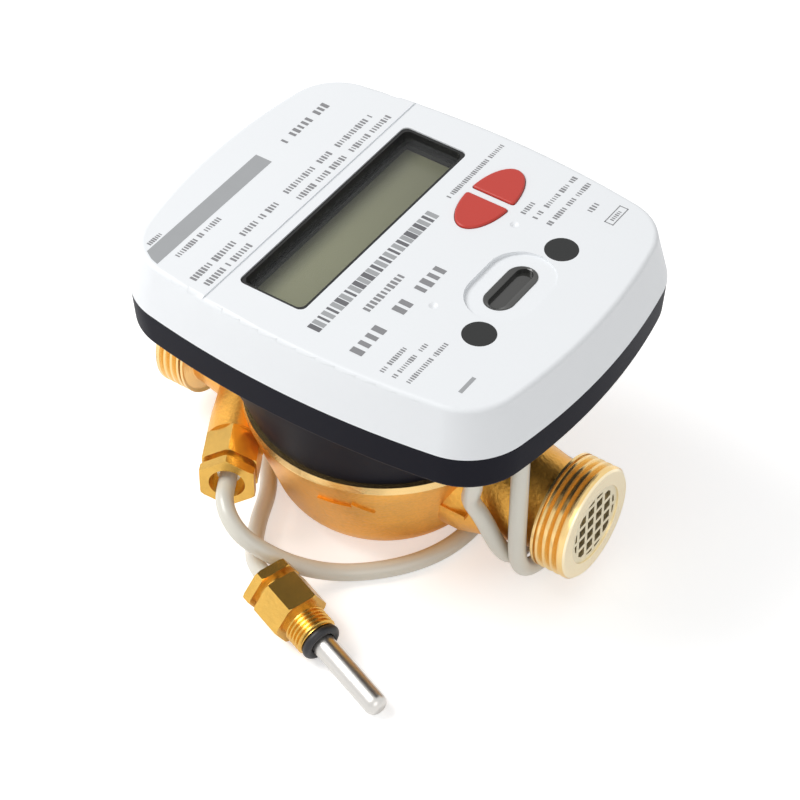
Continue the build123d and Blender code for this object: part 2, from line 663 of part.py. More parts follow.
def display_lens():
    """Clear pane inside the frame's upright edge."""
    low = FACE - LENS_DEPTH - LENS_THICKNESS
    plan = display_window(2 * LENS_CLEARANCE + UPSTAND_WALL)
    return raised(plan, low, low + LENS_THICKNESS)


def key(side):
    """One push key: cap, flange under the cover and stem."""
    cap = raised(key_plan(side), CEILING - KEY_FLANGE_THICKNESS, FACE + KEY_PROUD)
    cap = fillet(cap.edges().group_by(Axis.Z)[-1], KEY_PROUD * 0.8)
    flange = raised(key_plan(side, KEY_FLANGE) & key_half(side), CEILING - KEY_FLANGE_THICKNESS, CEILING)
    stem_y = KEYS_Y + side * KEYS_HALF_Y * 0.48
    stem = cylinder(KEY_STEM_RADIUS, SWITCH_TOP + KEY_TRAVEL + SWITCH_GAP, CEILING, KEYS_X, stem_y)
    return cap + flange + stem


def key_half(side):
    """Half plane that keeps the two flanges apart under the rib."""
    middle = KEYS_Y + side * (KEY_RIB / 4 + KEYS_HALF_Y)
    return Pos(KEYS_X, middle) * Rectangle(6 * KEYS_HALF_X, 2 * KEYS_HALF_Y)


def key_switch(side):
    """Tact switch under one key."""
    y = KEYS_Y + side * KEYS_HALF_Y * 0.48
    body = block(SWITCH_SIDE, SWITCH_SIDE, BOARD_TOP, BOARD_TOP + SWITCH_BODY, KEYS_X, y)
    return body + cylinder(SWITCH_PLUNGER_RADIUS, BOARD_TOP, SWITCH_TOP, KEYS_X, y)


def optical_window():
    """Dark slotted window, a shallow cup with a flange under the cover."""
    top = FACE - RECESS_DEPTH - 0.2
    pane = raised(slot_plan(SLOT_LENGTH, SLOT_WIDTH), CEILING - 0.5, top)
    hollow = raised(slot_plan(SLOT_LENGTH, SLOT_WIDTH, -SLOT_WALL), FACE - SLOT_PANE_DEPTH, FACE)
    flange = raised(slot_plan(SLOT_LENGTH, SLOT_WIDTH, SLOT_FLANGE), CEILING - 1, CEILING)
    return pane - hollow + flange


def diode(y):
    """Round topped optical component standing on the board."""
    top = CEILING - 1 - DIODE_GAP
    body = cylinder(DIODE_RADIUS, BOARD_TOP, top, OPTIC_X, y)
    body = fillet(body.edges().group_by(Axis.Z)[-1], DIODE_RADIUS * 0.9)
    return body + cylinder(DIODE_RADIUS + 0.4, BOARD_TOP, BOARD_TOP + 1, OPTIC_X, y)


def circuit_board():
    """Board on the four posts, with clear holes for the screws."""
    board = raised(head_outline(-BOARD_INSET), BOARD_BOTTOM, BOARD_TOP)
    for x, y in POST_PLACES:
        board = board - cylinder(SCREW_RADIUS + 0.1, BOARD_BOTTOM - 1, BOARD_TOP + 1, x, y)
    return board


def board_screw(x, y):
    """Pan head screw into a post."""
    shank = cylinder(SCREW_RADIUS - SEATING_CLEARANCE, DISH_TOP, BOARD_TOP, x, y)
    head = cylinder(SCREW_HEAD_RADIUS, BOARD_TOP, BOARD_TOP + SCREW_HEAD_HEIGHT, x, y)
    slot = block(2 * SCREW_HEAD_RADIUS, 0.5, BOARD_TOP + SCREW_HEAD_HEIGHT / 2, BOARD_TOP + 2, x, y)
    return shank + head - slot


def battery():
    """Round cell lying across the well, with its contact nub."""
    cell = Rot(0, 90, 0) * Cylinder(BATTERY_RADIUS, BATTERY_LENGTH)
    cell = chamfer(cell.edges().filter_by(GeomType.CIRCLE), 0.6)
    nub = Pos(BATTERY_LENGTH / 2 + 0.5, 0, 0) * Rot(0, 90, 0) * Cylinder(BATTERY_RADIUS * 0.35, 1.2)
    return Pos(0, BATTERY_Y, BATTERY_HEIGHT) * (cell + nub)


def battery_cradle():
    """Block with a round trough under the cell."""
    cradle = block(CRADLE_LENGTH, CRADLE_WIDTH, PARTITION_TOP, BATTERY_HEIGHT - 1, 0, BATTERY_Y)
    trough = Pos(0, BATTERY_Y, BATTERY_HEIGHT) * Rot(0, 90, 0) * Cylinder(
        BATTERY_RADIUS + CRADLE_CLEARANCE, CRADLE_LENGTH + 2)
    gap = block(CRADLE_LENGTH - 8, CRADLE_WIDTH - 6, PARTITION_TOP + 1.5, BATTERY_HEIGHT, 0, BATTERY_Y)
    return cradle - trough - gap


def pickup_coil(angle):
    """Bobbin with a winding that reads the steel target through the partition."""
    x = COIL_RING_RADIUS * math.cos(math.radians(angle))
    y = COIL_RING_RADIUS * math.sin(math.radians(angle))
    top = PARTITION_TOP + PICKUP_HEIGHT
    lower = cylinder(PICKUP_RADIUS, PARTITION_TOP, PARTITION_TOP + 0.7, x, y)
    upper = cylinder(PICKUP_RADIUS, top - 0.7, top, x, y)
    winding = cylinder(PICKUP_RADIUS - 0.4, PARTITION_TOP, top, x, y)
    return lower + upper + winding - cylinder(PICKUP_CORE_RADIUS, top - 2, top + 1, x, y)


def terminal_block():
    """Row of wire clamps with a screw hole over each."""
    size_x, size_y, size_z = TERMINAL_SIZE
    body = block(size_x, size_y, BOARD_TOP, BOARD_TOP + size_z, TERMINAL_X, TERMINAL_Y)
    pitch = size_y / TERMINAL_POLES
    for index in range(TERMINAL_POLES):
        y = TERMINAL_Y + (index + 0.5) * pitch - size_y / 2
        body = body - cylinder(1.5, BOARD_TOP + size_z - 2, BOARD_TOP + size_z + 1, TERMINAL_X, y)
        body = body - block(4, 2.6, BOARD_TOP + 1, BOARD_TOP + 4, TERMINAL_X - size_x / 2, y)
    return body


def cable_gland(place):
    """Tapered rubber entry under the dish."""
    x, y = place
    nose = turned([(0, GLAND_BOTTOM), (GLAND_NOSE_RADIUS, GLAND_BOTTOM),
                   (GLAND_BODY_RADIUS, DISH_BOTTOM - GLAND_FLANGE - 1.5),
                   (GLAND_BODY_RADIUS, DISH_BOTTOM - GLAND_FLANGE),
                   (GLAND_FLANGE_RADIUS, DISH_BOTTOM - GLAND_FLANGE),
                   (GLAND_FLANGE_RADIUS, DISH_BOTTOM), (GLAND_STEM_RADIUS, DISH_BOTTOM),
                   (GLAND_STEM_RADIUS, DISH_TOP + 1), (0, DISH_TOP + 1)])
    return Pos(x, y, 0) * nose


def cable(points):
    """Round cable along straight runs joined by arcs as large as the runs allow."""
    route = [Vector(*p) for p in points]
    radii = []
    for before, here, after in zip(route, route[1:], route[2:]):
        first = here - before
        second = after - here
        turn = math.radians(first.get_angle(second))
        radii.append(0.45 * min(first.length, second.length) / math.tan(turn / 2))
    print("cable radii", [round(r, 1) for r in radii])
    path = FilletPolyline(*route, radius=radii)
    start = Plane(origin=route[0], z_dir=route[1] - route[0])
    tube = sweep(start * Circle(CABLE_RADIUS), path=path)
    expected = math.pi * CABLE_RADIUS ** 2 * path.length
    print("cable length", round(path.length, 1), "volume ratio", round(tube.volume / expected, 4))
    return tube


def coiled_cable():
    """Outer shape of the tied turns."""
    x, y = COIL_CENTRE
    section = Pos(COIL_MEAN_RADIUS, TIE_THICKNESS + COIL_HEIGHT / 2) * RectangleRounded(
        COIL_WIDTH, COIL_HEIGHT, COIL_ROUNDING)
    return Pos(x, y, 0) * revolve(Plane.XZ * section, Axis.Z)


def coil_tie():
    """Strap round the turns."""
    x, y = COIL_CENTRE
    middle = TIE_THICKNESS + COIL_HEIGHT / 2
    outside = RectangleRounded(COIL_WIDTH + 2 * TIE_THICKNESS, COIL_HEIGHT + 2 * TIE_THICKNESS,
                               COIL_ROUNDING + TIE_THICKNESS)
    inside = RectangleRounded(COIL_WIDTH + 2 * TIE_CLEARANCE, COIL_HEIGHT + 2 * TIE_CLEARANCE, COIL_ROUNDING)
    sweep_angle = math.degrees(TIE_WIDTH / COIL_MEAN_RADIUS)
    strap = revolve(Plane.XZ * (Pos(COIL_MEAN_RADIUS, middle) * (outside - inside)), Axis.Z, sweep_angle)
    return Pos(x, y, 0) * Rot(0, 0, TIE_ANGLE) * strap


return_gland_place = gland_place(RETURN_GLAND_GAP, RETURN_GLAND_ANGLE)
supply_gland_place = gland_place(SUPPLY_GLAND_GAP, SUPPLY_GLAND_ANGLE)
coil_edge = COIL_MEAN_RADIUS + COIL_WIDTH / 2 + CABLE_RADIUS + CABLE_GAP
return_cable_end = PORT_START + PORT_DIRECTION * (PORT_REAR - CABLE_RECESS_DEPTH)
return_cable_lead = PORT_START + PORT_DIRECTION * (PORT_REAR + 3.0)
RETURN_ROUTE = [
    (*return_gland_place, GLAND_BOTTOM),
    (*return_gland_place, 40.0),
    (44.0, -14.0, 13.0),
    (43.7, -8.0, 5.4),
    (43.3, 3.5, 3.6),
    (41.0, 16.0, 3.6),
    (34.0, 20.5, 6.8),
    (27.5, 16.5, 6.8),
    (26.0, 7.0, 2.8),
    (26.4, -3.0, 2.0),
    (24.6, -15.0, 2.0),
    (18.6, -24.4, 2.0),
    (9.4, -31.8, 2.2),
    (0.6, -37.6, 7.0),
    (-7.0, -41.3, 11.6),
    (-11.6, -41.3, 16.4),
    tuple(return_cable_lead),
    tuple(return_cable_end),
]

supply_cable_end = FREE_REAR + FREE_DIRECTION * CABLE_RECESS_DEPTH
supply_cable_lead = FREE_REAR - FREE_DIRECTION * 4.5
SUPPLY_UPPER_ROUTE = [
    (*supply_gland_place, GLAND_BOTTOM),
    (*supply_gland_place, 40.0),
    (38.6, -14.0, 13.0),
    (38.5, -8.0, 5.0),
    (38.2, 3.0, 2.6),
    (36.5, 12.0, 2.0),
    (30.0, 22.0, 2.0),
    (23.5, 30.0, 2.0),
    (18.0, 38.5, 2.4),
    (COIL_CENTRE[0] + coil_edge, 50.0, 4.2),
    (COIL_CENTRE[0] + coil_edge, 60.0, 5.0),
]
SUPPLY_LOWER_ROUTE = [
    (COIL_CENTRE[0] - coil_edge, 60.0, 5.0),
    (COIL_CENTRE[0] - coil_edge, 48.0, 3.6),
    (-50.5, 35.0, 2.2),
    (-42.5, 21.0, 2.0),
    (-35.0, 8.0, 2.0),
    (-30.0, -4.0, 2.0),
    (-23.5, -12.5, 2.0),
    (-17.5, -19.5, 2.0),
    (-15.0, -26.5, 2.0),
    (-11.3, -34.0, 2.2),
    tuple(supply_cable_lead),
    tuple(supply_cable_end),
]

os.makedirs("parts", exist_ok=True)

save("flow_body", flow_body())
save("strainer", strainer())
save("impeller", impeller())
save("signal_disc", signal_disc())
save("impeller_shaft", cylinder(SHAFT_RADIUS, CHAMBER_FLOOR, CHAMBER_TOP))
save("lower_bearing", bearing(CHAMBER_FLOOR, IMPELLER_BOTTOM - BEARING_GAP, CHAMBER_FLOOR - 1, IMPELLER_BOTTOM))
save("upper_bearing", bearing(IMPELLER_TOP + 1, CHAMBER_TOP + PLATE_THICKNESS - 0.5, IMPELLER_TOP, CHAMBER_TOP + SEATING_CLEARANCE))
save("chamber_plate", chamber_plate())
plate_top = CHAMBER_TOP + PLATE_THICKNESS
save("chamber_seal", ring(SEAT_RADIUS - SEATING_CLEARANCE, SEAT_RADIUS - SEAL_WIDTH, plate_top, plate_top + SEAL_THICKNESS))
save("lock_ring", lock_ring())

save("return_probe_adapter", RETURN_PROBE * probe_adapter())
save("return_probe_tube", RETURN_PROBE * probe_tube())
save("return_probe_seal", RETURN_PROBE * probe_seal())
save("supply_probe_adapter", FREE_PROBE * probe_adapter())
save("supply_probe_tube", FREE_PROBE * probe_tube())
save("supply_probe_seal", FREE_PROBE * probe_seal())

save("base_shell", base_shell())
save("cover_gasket", cover_gasket())
save("top_cover", top_cover())
save("display_lens", display_lens())
save("display_frame", display_frame())
save("display_panel", block(PANEL_X, PANEL_Y, PANEL_TOP - PANEL_THICKNESS, PANEL_TOP, DISPLAY_X))
strip_shift = (PANEL_X - STRIP_WIDTH) / 2 - 0.6
save("contact_strips", *[block(STRIP_WIDTH, STRIP_LENGTH, BOARD_TOP, PANEL_TOP - PANEL_THICKNESS,
                               DISPLAY_X + side * strip_shift) for side in (-1, 1)])
save("circuit_board", circuit_board())
save("board_screws", *[board_screw(x, y) for x, y in POST_PLACES])
save("left_key", key(-1))
save("right_key", key(1))
save("key_switches", key_switch(-1), key_switch(1))
save("optical_window", optical_window())
save("infrared_emitter", diode(-DIODE_Y))
save("infrared_receiver", diode(DIODE_Y))
save("left_steel_disc", cylinder(DISC_RADIUS, FACE - DISC_THICKNESS, FACE, DISC_X, -DISC_Y))
save("right_steel_disc", cylinder(DISC_RADIUS, FACE - DISC_THICKNESS, FACE, DISC_X, DISC_Y))
save("battery", battery())
save("battery_cradle", battery_cradle())
save("pickup_coils", *[pickup_coil(angle) for angle in (-150, -90, -30)])
save("terminal_block", terminal_block())
save("return_cable_gland", cable_gland(return_gland_place))
save("supply_cable_gland", cable_gland(supply_gland_place))

save("return_cable", cable(RETURN_ROUTE))
save("supply_cable_upper", cable(SUPPLY_UPPER_ROUTE))
save("supply_cable_lower", cable(SUPPLY_LOWER_ROUTE))
save("supply_cable_coil", coiled_cable())
save("coil_tie", coil_tie())
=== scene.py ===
"""Looks of a compact heat meter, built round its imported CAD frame.

Every length in the file is in metres unless its name says otherwise. X runs along the pipe,
Z is up, and the origin is the middle of the pad that the meter stands on.
"""

import json
import math

import bmesh
import bpy
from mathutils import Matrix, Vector


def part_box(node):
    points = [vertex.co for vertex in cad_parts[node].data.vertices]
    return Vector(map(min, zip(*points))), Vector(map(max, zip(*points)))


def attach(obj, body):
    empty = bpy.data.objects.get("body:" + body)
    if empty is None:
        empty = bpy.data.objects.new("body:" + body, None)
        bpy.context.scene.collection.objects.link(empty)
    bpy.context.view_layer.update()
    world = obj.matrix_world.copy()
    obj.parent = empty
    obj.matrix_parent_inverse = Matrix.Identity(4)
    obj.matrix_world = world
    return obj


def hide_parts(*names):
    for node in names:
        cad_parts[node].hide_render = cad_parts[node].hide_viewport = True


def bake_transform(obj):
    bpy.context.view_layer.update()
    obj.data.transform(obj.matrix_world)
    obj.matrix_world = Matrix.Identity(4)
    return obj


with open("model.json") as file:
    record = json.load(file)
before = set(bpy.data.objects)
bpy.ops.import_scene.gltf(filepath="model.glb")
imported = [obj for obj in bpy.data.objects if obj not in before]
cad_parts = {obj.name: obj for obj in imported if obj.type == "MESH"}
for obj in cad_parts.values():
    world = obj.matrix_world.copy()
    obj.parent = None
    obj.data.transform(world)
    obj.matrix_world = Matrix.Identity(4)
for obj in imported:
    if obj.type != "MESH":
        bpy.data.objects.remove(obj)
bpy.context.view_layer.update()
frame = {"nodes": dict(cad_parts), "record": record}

bl_info = {
    "name": "Heat meter",
    "version": (1, 0, 0),
    "blender": (4, 5, 0),
    "location": "View3D > Sidebar > Heat meter",
    "description": "Builds the cables, print, window surround and finishes of a compact heat meter",
    "category": "Object",
}

MM = 0.001
FACE_HEIGHT = 76.0 * MM
PIPE_HEIGHT = 19.0 * MM
PRINT_THICKNESS = 0.03 * MM
PRINT_SINK = 0.01 * MM


# Settings


class MeterColours(bpy.types.PropertyGroup):
    """Colours of the meter's main finishes."""

    cover: bpy.props.FloatVectorProperty(
        name="Cover", description="Pale plastic of the upper housing",
        subtype="COLOR", size=3, default=(0.83, 0.85, 0.87), min=0.0, max=1.0)
    base: bpy.props.FloatVectorProperty(
        name="Base", description="Black plastic of the lower housing",
        subtype="COLOR", size=3, default=(0.010, 0.010, 0.016), min=0.0, max=1.0)
    cast_brass: bpy.props.FloatVectorProperty(
        name="Cast brass", description="Blasted brass of the flow body",
        subtype="COLOR", size=3, default=(0.80, 0.41, 0.075), min=0.0, max=1.0)
    bright_brass: bpy.props.FloatVectorProperty(
        name="Bright brass", description="Brass where a tool has cut it",
        subtype="COLOR", size=3, default=(0.92, 0.65, 0.28), min=0.0, max=1.0)
    # End faces: turned brass, its colour painted paler as a highlight for the glare that falls on them.
    end_face_highlight: bpy.props.FloatVectorProperty(
        name="End faces", description="Finely turned brass of the pipe's end faces",
        subtype="COLOR", size=3, default=(0.97, 0.84, 0.58), min=0.0, max=1.0)
    adapter_brass: bpy.props.FloatVectorProperty(
        name="Adapter brass", description="Deeper brass of the probes' adapters",
        subtype="COLOR", size=3, default=(0.74, 0.44, 0.095), min=0.0, max=1.0)
    key: bpy.props.FloatVectorProperty(
        name="Keys", description="Red plastic of the two keys",
        subtype="COLOR", size=3, default=(0.52, 0.036, 0.022), min=0.0, max=1.0)
    jacket: bpy.props.FloatVectorProperty(
        name="Cable jacket", description="Grey jacket of both cables",
        subtype="COLOR", size=3, default=(0.74, 0.71, 0.62), min=0.0, max=1.0)
    ink: bpy.props.FloatVectorProperty(
        name="Ink", description="Dark grey print on the cover",
        subtype="COLOR", size=3, default=(0.13, 0.13, 0.14), min=0.0, max=1.0)
    mid_ink: bpy.props.FloatVectorProperty(
        name="Mid ink", description="Softer grey of the small rows",
        subtype="COLOR", size=3, default=(0.24, 0.24, 0.25), min=0.0, max=1.0)
    pale_ink: bpy.props.FloatVectorProperty(
        name="Pale ink", description="Mid grey of the printed bar",
        subtype="COLOR", size=3, default=(0.35, 0.36, 0.37), min=0.0, max=1.0)
    display: bpy.props.FloatVectorProperty(
        name="Display", description="Lit part of the display",
        subtype="COLOR", size=3, default=(0.265, 0.270, 0.155), min=0.0, max=1.0)
    floor: bpy.props.FloatVectorProperty(
        name="Floor", description="Plain pale floor",
        subtype="COLOR", size=3, default=(0.90, 0.90, 0.90), min=0.0, max=1.0)


class CableSizes(bpy.types.PropertyGroup):
    """Sizes of both cables and of the tied coil."""

    diameter: bpy.props.FloatProperty(
        name="Diameter", description="Outside diameter of a cable",
        subtype="DISTANCE", unit="LENGTH", default=4.0 * MM, min=MM, max=8.0 * MM)
    supply_length: bpy.props.FloatProperty(
        name="Supply cable", description="Length of the supply probe's cable",
        subtype="DISTANCE", unit="LENGTH", default=1.41, min=0.5, max=3.0)
    return_length: bpy.props.FloatProperty(
        name="Return cable", description="Length of the return probe's cable",
        subtype="DISTANCE", unit="LENGTH", default=0.185, min=0.1, max=1.0)
    coil_centre: bpy.props.FloatVectorProperty(
        name="Coil centre", description="Middle of the coil on the floor",
        subtype="TRANSLATION", unit="LENGTH", size=3, default=(-20.0 * MM, 60.0 * MM, 2.8 * MM))
    outer_turn: bpy.props.FloatProperty(
        name="Outer turn", description="Radius of the outermost turn",
        subtype="DISTANCE", unit="LENGTH", default=31.6 * MM, min=20 * MM, max=60 * MM)
    turn_pitch: bpy.props.FloatProperty(
        name="Turn pitch", description="Step from one turn to the next, across and up",
        subtype="DISTANCE", unit="LENGTH", default=4.18 * MM, min=3 * MM, max=8 * MM)
    columns: bpy.props.IntProperty(
        name="Columns", description="Turns side by side in one layer", default=4, min=2, max=8)
    sides: bpy.props.IntProperty(
        name="Sides", description="Faces round a cable", default=20, min=8, max=48)


class PrintSizes(bpy.types.PropertyGroup):
    """Sizes of the print on the cover."""

    stem_width: bpy.props.FloatProperty(
        name="Stem width", description="Width of the widest mark as a part of its step",
        default=0.74, min=0.1, max=1.0)
    word_gap: bpy.props.FloatProperty(
        name="Word gaps", description="Share of marks left out between words",
        default=0.12, min=0.0, max=0.6)
    bar_count: bpy.props.IntProperty(
        name="Bars", description="Bars in the striped strip", default=14, min=4, max=200)


class StageSettings(bpy.types.PropertyGroup):
    """Camera, lamps and floor."""

    camera_place: bpy.props.FloatVectorProperty(
        name="Camera", description="Where the camera stands",
        subtype="TRANSLATION", unit="LENGTH", size=3, default=(0.2600, -0.3683, 0.4720))
    camera_target: bpy.props.FloatVectorProperty(
        name="Target", description="The point that the camera looks at",
        subtype="TRANSLATION", unit="LENGTH", size=3, default=(0.01039, -0.00918, 0.0390))
    camera_roll: bpy.props.FloatProperty(
        name="Roll", description="Turn about the line of sight",
        subtype="ANGLE", default=math.radians(-0.18), min=-3.2, max=3.2)
    lens: bpy.props.FloatProperty(
        name="Lens", description="Focal length on a 36 mm sensor", default=129.4, min=20.0, max=300.0)
    key_power: bpy.props.FloatProperty(
        name="Main lamp", description="Power of the large lamp at the left",
        unit="POWER", default=7.0, min=0.0, max=100.0)
    fill_power: bpy.props.FloatProperty(
        name="Side lamp", description="Power of the lamp at the right",
        unit="POWER", default=1.2, min=0.0, max=100.0)
    sky: bpy.props.FloatProperty(
        name="Sky", description="Brightness of the surroundings as a light",
        default=0.55, min=0.0, max=2.0)
    floor_size: bpy.props.FloatProperty(
        name="Floor size", description="Side of the square floor",
        subtype="DISTANCE", unit="LENGTH", default=6.0, min=1.0, max=20.0)


# Small helpers


def settings(context):
    """The four groups of settings."""
    scene = context.scene
    return scene.meter_colours, scene.meter_cables, scene.meter_print, scene.meter_stage


def add_object(name, mesh):
    """A new object for a mesh, linked to the scene."""
    piece = bpy.data.objects.new(name, mesh)
    bpy.context.scene.collection.objects.link(piece)
    return piece


def mesh_from(vertices, faces, name):
    """A mesh from points and faces, its normals pointing outwards."""
    mesh = bpy.data.meshes.new(name)
    mesh.from_pydata(vertices, [], faces)
    work = bmesh.new()
    work.from_mesh(mesh)
    bmesh.ops.recalc_face_normals(work, faces=work.faces)
    work.to_mesh(mesh)
    work.free()
    return mesh


def evaluated_mesh(piece):
    """The finished mesh of an object with its modifiers or its curve turned into faces."""
    depsgraph = bpy.context.evaluated_depsgraph_get()
    return bpy.data.meshes.new_from_object(piece.evaluated_get(depsgraph))


def ring_faces(first, second, count):
    """Faces between two rings of points, each given by the index of its first point."""
    return [(first + index, first + (index + 1) % count, second + (index + 1) % count, second + index)
            for index in range(count)]


def prisms_mesh(outlines, low, high, name):
    """One mesh of flat fields: outlines of XY points, raised from one height to another."""
    vertices = []
    faces = []
    for outline in outlines:
        start = len(vertices)
        count = len(outline)
        vertices += [(x, y, low) for x, y in outline] + [(x, y, high) for x, y in outline]
        faces.append(list(range(start, start + count)))
        faces.append(list(range(start + count, start + 2 * count)))
        faces += ring_faces(start, start + count, count)
    return mesh_from(vertices, faces, name)


# Shader groups


def new_group(name, inputs, outputs):
    """An empty shader group with named sockets."""
    group = bpy.data.node_groups.new(name, "ShaderNodeTree")
    for label, kind, value in inputs:
        socket = group.interface.new_socket(label, in_out="INPUT", socket_type=kind)
        socket.default_value = value
    for label, kind in outputs:
        group.interface.new_socket(label, in_out="OUTPUT", socket_type=kind)
    entry = group.nodes.new("NodeGroupInput")
    leave = group.nodes.new("NodeGroupOutput")
    return group, entry, leave


def math_node(tree, operation, first, second=None, clamp=False):
    """A Math node on sockets or plain numbers; returns its output."""
    node = tree.nodes.new("ShaderNodeMath")
    node.operation = operation
    node.use_clamp = clamp
    for index, value in enumerate((first, second)):
        if value is None:
            continue
        if isinstance(value, (int, float)):
            node.inputs[index].default_value = value
        else:
            tree.links.new(value, node.inputs[index])
    return node.outputs[0]


def map_range(tree, value, from_low, from_high, to_low, to_high):
    """A clamped Map Range node; returns its output."""
    node = tree.nodes.new("ShaderNodeMapRange")
    node.clamp = True
    tree.links.new(value, node.inputs["Value"])
    node.inputs["From Min"].default_value = from_low
    node.inputs["From Max"].default_value = from_high
    node.inputs["To Min"].default_value = to_low
    node.inputs["To Max"].default_value = to_high
    return node.outputs["Result"]


def mix_colour(tree, factor, first, second):
    """A colour Mix node; each side is a socket or an RGBA value."""
    node = tree.nodes.new("ShaderNodeMix")
    node.data_type = "RGBA"
    tree.links.new(factor, node.inputs["Factor"])
    for socket, value in ((node.inputs[6], first), (node.inputs[7], second)):
        if hasattr(value, "links"):
            tree.links.new(value, socket)
        else:
            socket.default_value = (*value[:3], 1.0)
    return node.outputs[2]


def object_position(tree):
    """Object coordinates split into X, Y and Z, and the vector itself."""
    place = tree.nodes.new("ShaderNodeTexCoord")
    split = tree.nodes.new("ShaderNodeSeparateXYZ")
    tree.links.new(place.outputs["Object"], split.inputs[0])
    return place.outputs["Object"], split.outputs


def build_grain_group():
    """Fine moulded or blasted grain: colour variation, height and a roughness value."""
    group, entry, leave = new_group(
        "surface grain",
        [("Colour", "NodeSocketColor", (0.8, 0.8, 0.8, 1.0)), ("Shade", "NodeSocketFloat", 0.08),
         ("Grain", "NodeSocketFloat", 2500.0), ("Blotch", "NodeSocketFloat", 60.0),
         ("Roughness", "NodeSocketFloat", 0.45), ("Roughness change", "NodeSocketFloat", 0.08)],
        [("Colour", "NodeSocketColor"), ("Height", "NodeSocketFloat"), ("Roughness", "NodeSocketFloat")])
    place, _ = object_position(group)
    fine = group.nodes.new("ShaderNodeTexNoise")
    fine.inputs["Detail"].default_value = 3.0
    group.links.new(place, fine.inputs["Vector"])
    group.links.new(entry.outputs["Grain"], fine.inputs["Scale"])
    broad = group.nodes.new("ShaderNodeTexNoise")
    broad.inputs["Detail"].default_value = 2.0
    group.links.new(place, broad.inputs["Vector"])
    group.links.new(entry.outputs["Blotch"], broad.inputs["Scale"])
    both = math_node(group, "ADD", math_node(group, "MULTIPLY", fine.outputs[0], 0.35),
                     math_node(group, "MULTIPLY", broad.outputs[0], 0.65))
    swing = math_node(group, "SUBTRACT", both, 0.5)
    bright = math_node(group, "MULTIPLY_ADD", swing, entry.outputs["Shade"])
    bright.node.inputs[2].default_value = 1.0
    shaded = group.nodes.new("ShaderNodeVectorMath")
    shaded.operation = "SCALE"
    group.links.new(entry.outputs["Colour"], shaded.inputs[0])
    group.links.new(bright, shaded.inputs["Scale"])
    rough = math_node(group, "MULTIPLY_ADD", swing, entry.outputs["Roughness change"])
    group.links.new(entry.outputs["Roughness"], rough.node.inputs[2])
    group.links.new(shaded.outputs[0], leave.inputs["Colour"])
    group.links.new(fine.outputs[0], leave.inputs["Height"])
    group.links.new(rough, leave.inputs["Roughness"])
    return group


def build_cut_group():
    """Where a tool has cut the casting: end threads, end faces and rim."""
    group, entry, leave = new_group(
        "machined zones",
        [("Thread start", "NodeSocketFloat", 46.0 * MM), ("Rim low", "NodeSocketFloat", 28.15 * MM),
         ("Rim inside", "NodeSocketFloat", 29.0 * MM), ("Rim outside", "NodeSocketFloat", 31.6 * MM),
         ("Face start", "NodeSocketFloat", 54.6 * MM)],
        [("Mask", "NodeSocketFloat"), ("Face", "NodeSocketFloat"), ("Marks", "NodeSocketFloat")])
    _, axis = object_position(group)
    along = math_node(group, "ABSOLUTE", axis[0])
    thread = math_node(group, "GREATER_THAN", along, entry.outputs["Thread start"])
    radius = math_node(group, "SQRT", math_node(
        group, "ADD", math_node(group, "MULTIPLY", axis[0], axis[0]),
        math_node(group, "MULTIPLY", axis[1], axis[1])))
    above = math_node(group, "GREATER_THAN", axis[2], entry.outputs["Rim low"])
    past = math_node(group, "GREATER_THAN", radius, entry.outputs["Rim inside"])
    within = math_node(group, "LESS_THAN", radius, entry.outputs["Rim outside"])
    rim = math_node(group, "MULTIPLY", math_node(group, "MULTIPLY", above, past), within)
    mask = math_node(group, "MAXIMUM", thread, rim)
    marks = group.nodes.new("ShaderNodeTexNoise")
    marks.noise_dimensions = "1D"
    marks.inputs["Scale"].default_value = 5200.0
    height = math_node(group, "SUBTRACT", axis[2], PIPE_HEIGHT)
    pipe = math_node(group, "SQRT", math_node(
        group, "ADD", math_node(group, "MULTIPLY", axis[1], axis[1]),
        math_node(group, "MULTIPLY", height, height)))
    course = math_node(group, "ADD", pipe, math_node(group, "MULTIPLY", along, 0.6))
    group.links.new(course, marks.inputs["W"])
    face = math_node(group, "GREATER_THAN", along, entry.outputs["Face start"])
    group.links.new(mask, leave.inputs["Mask"])
    group.links.new(face, leave.inputs["Face"])
    group.links.new(marks.outputs[0], leave.inputs["Marks"])
    return group


def shader_group(name):
    """A shader group, built the first time that it is asked for."""
    known = bpy.data.node_groups.get(name)
    if known:
        return known
    return {"surface grain": build_grain_group, "machined zones": build_cut_group}[name]()


# Materials


def bare_material(name):
    """A new node material; returns it with its tree and its Principled shader."""
    material = bpy.data.materials.new(name)
    material.use_nodes = True
    tree = material.node_tree
    shader = next(node for node in tree.nodes if node.type == "BSDF_PRINCIPLED")
    return material, tree, shader


def place_group(tree, name, **values):
    """A shader group in a material with its own values."""
    node = tree.nodes.new("ShaderNodeGroup")
    node.node_tree = shader_group(name)
    for label, value in values.items():
        node.inputs[label.replace("_", " ")].default_value = value
    return node


def add_bump(tree, shader, height, depth, distance=0.2 * MM):
    """A Bump node from a height to the shader's normal."""
    bump = tree.nodes.new("ShaderNodeBump")
    bump.inputs["Strength"].default_value = depth
    bump.inputs["Distance"].default_value = distance
    tree.links.new(height, bump.inputs["Height"])
    tree.links.new(bump.outputs[0], shader.inputs["Normal"])
    return bump


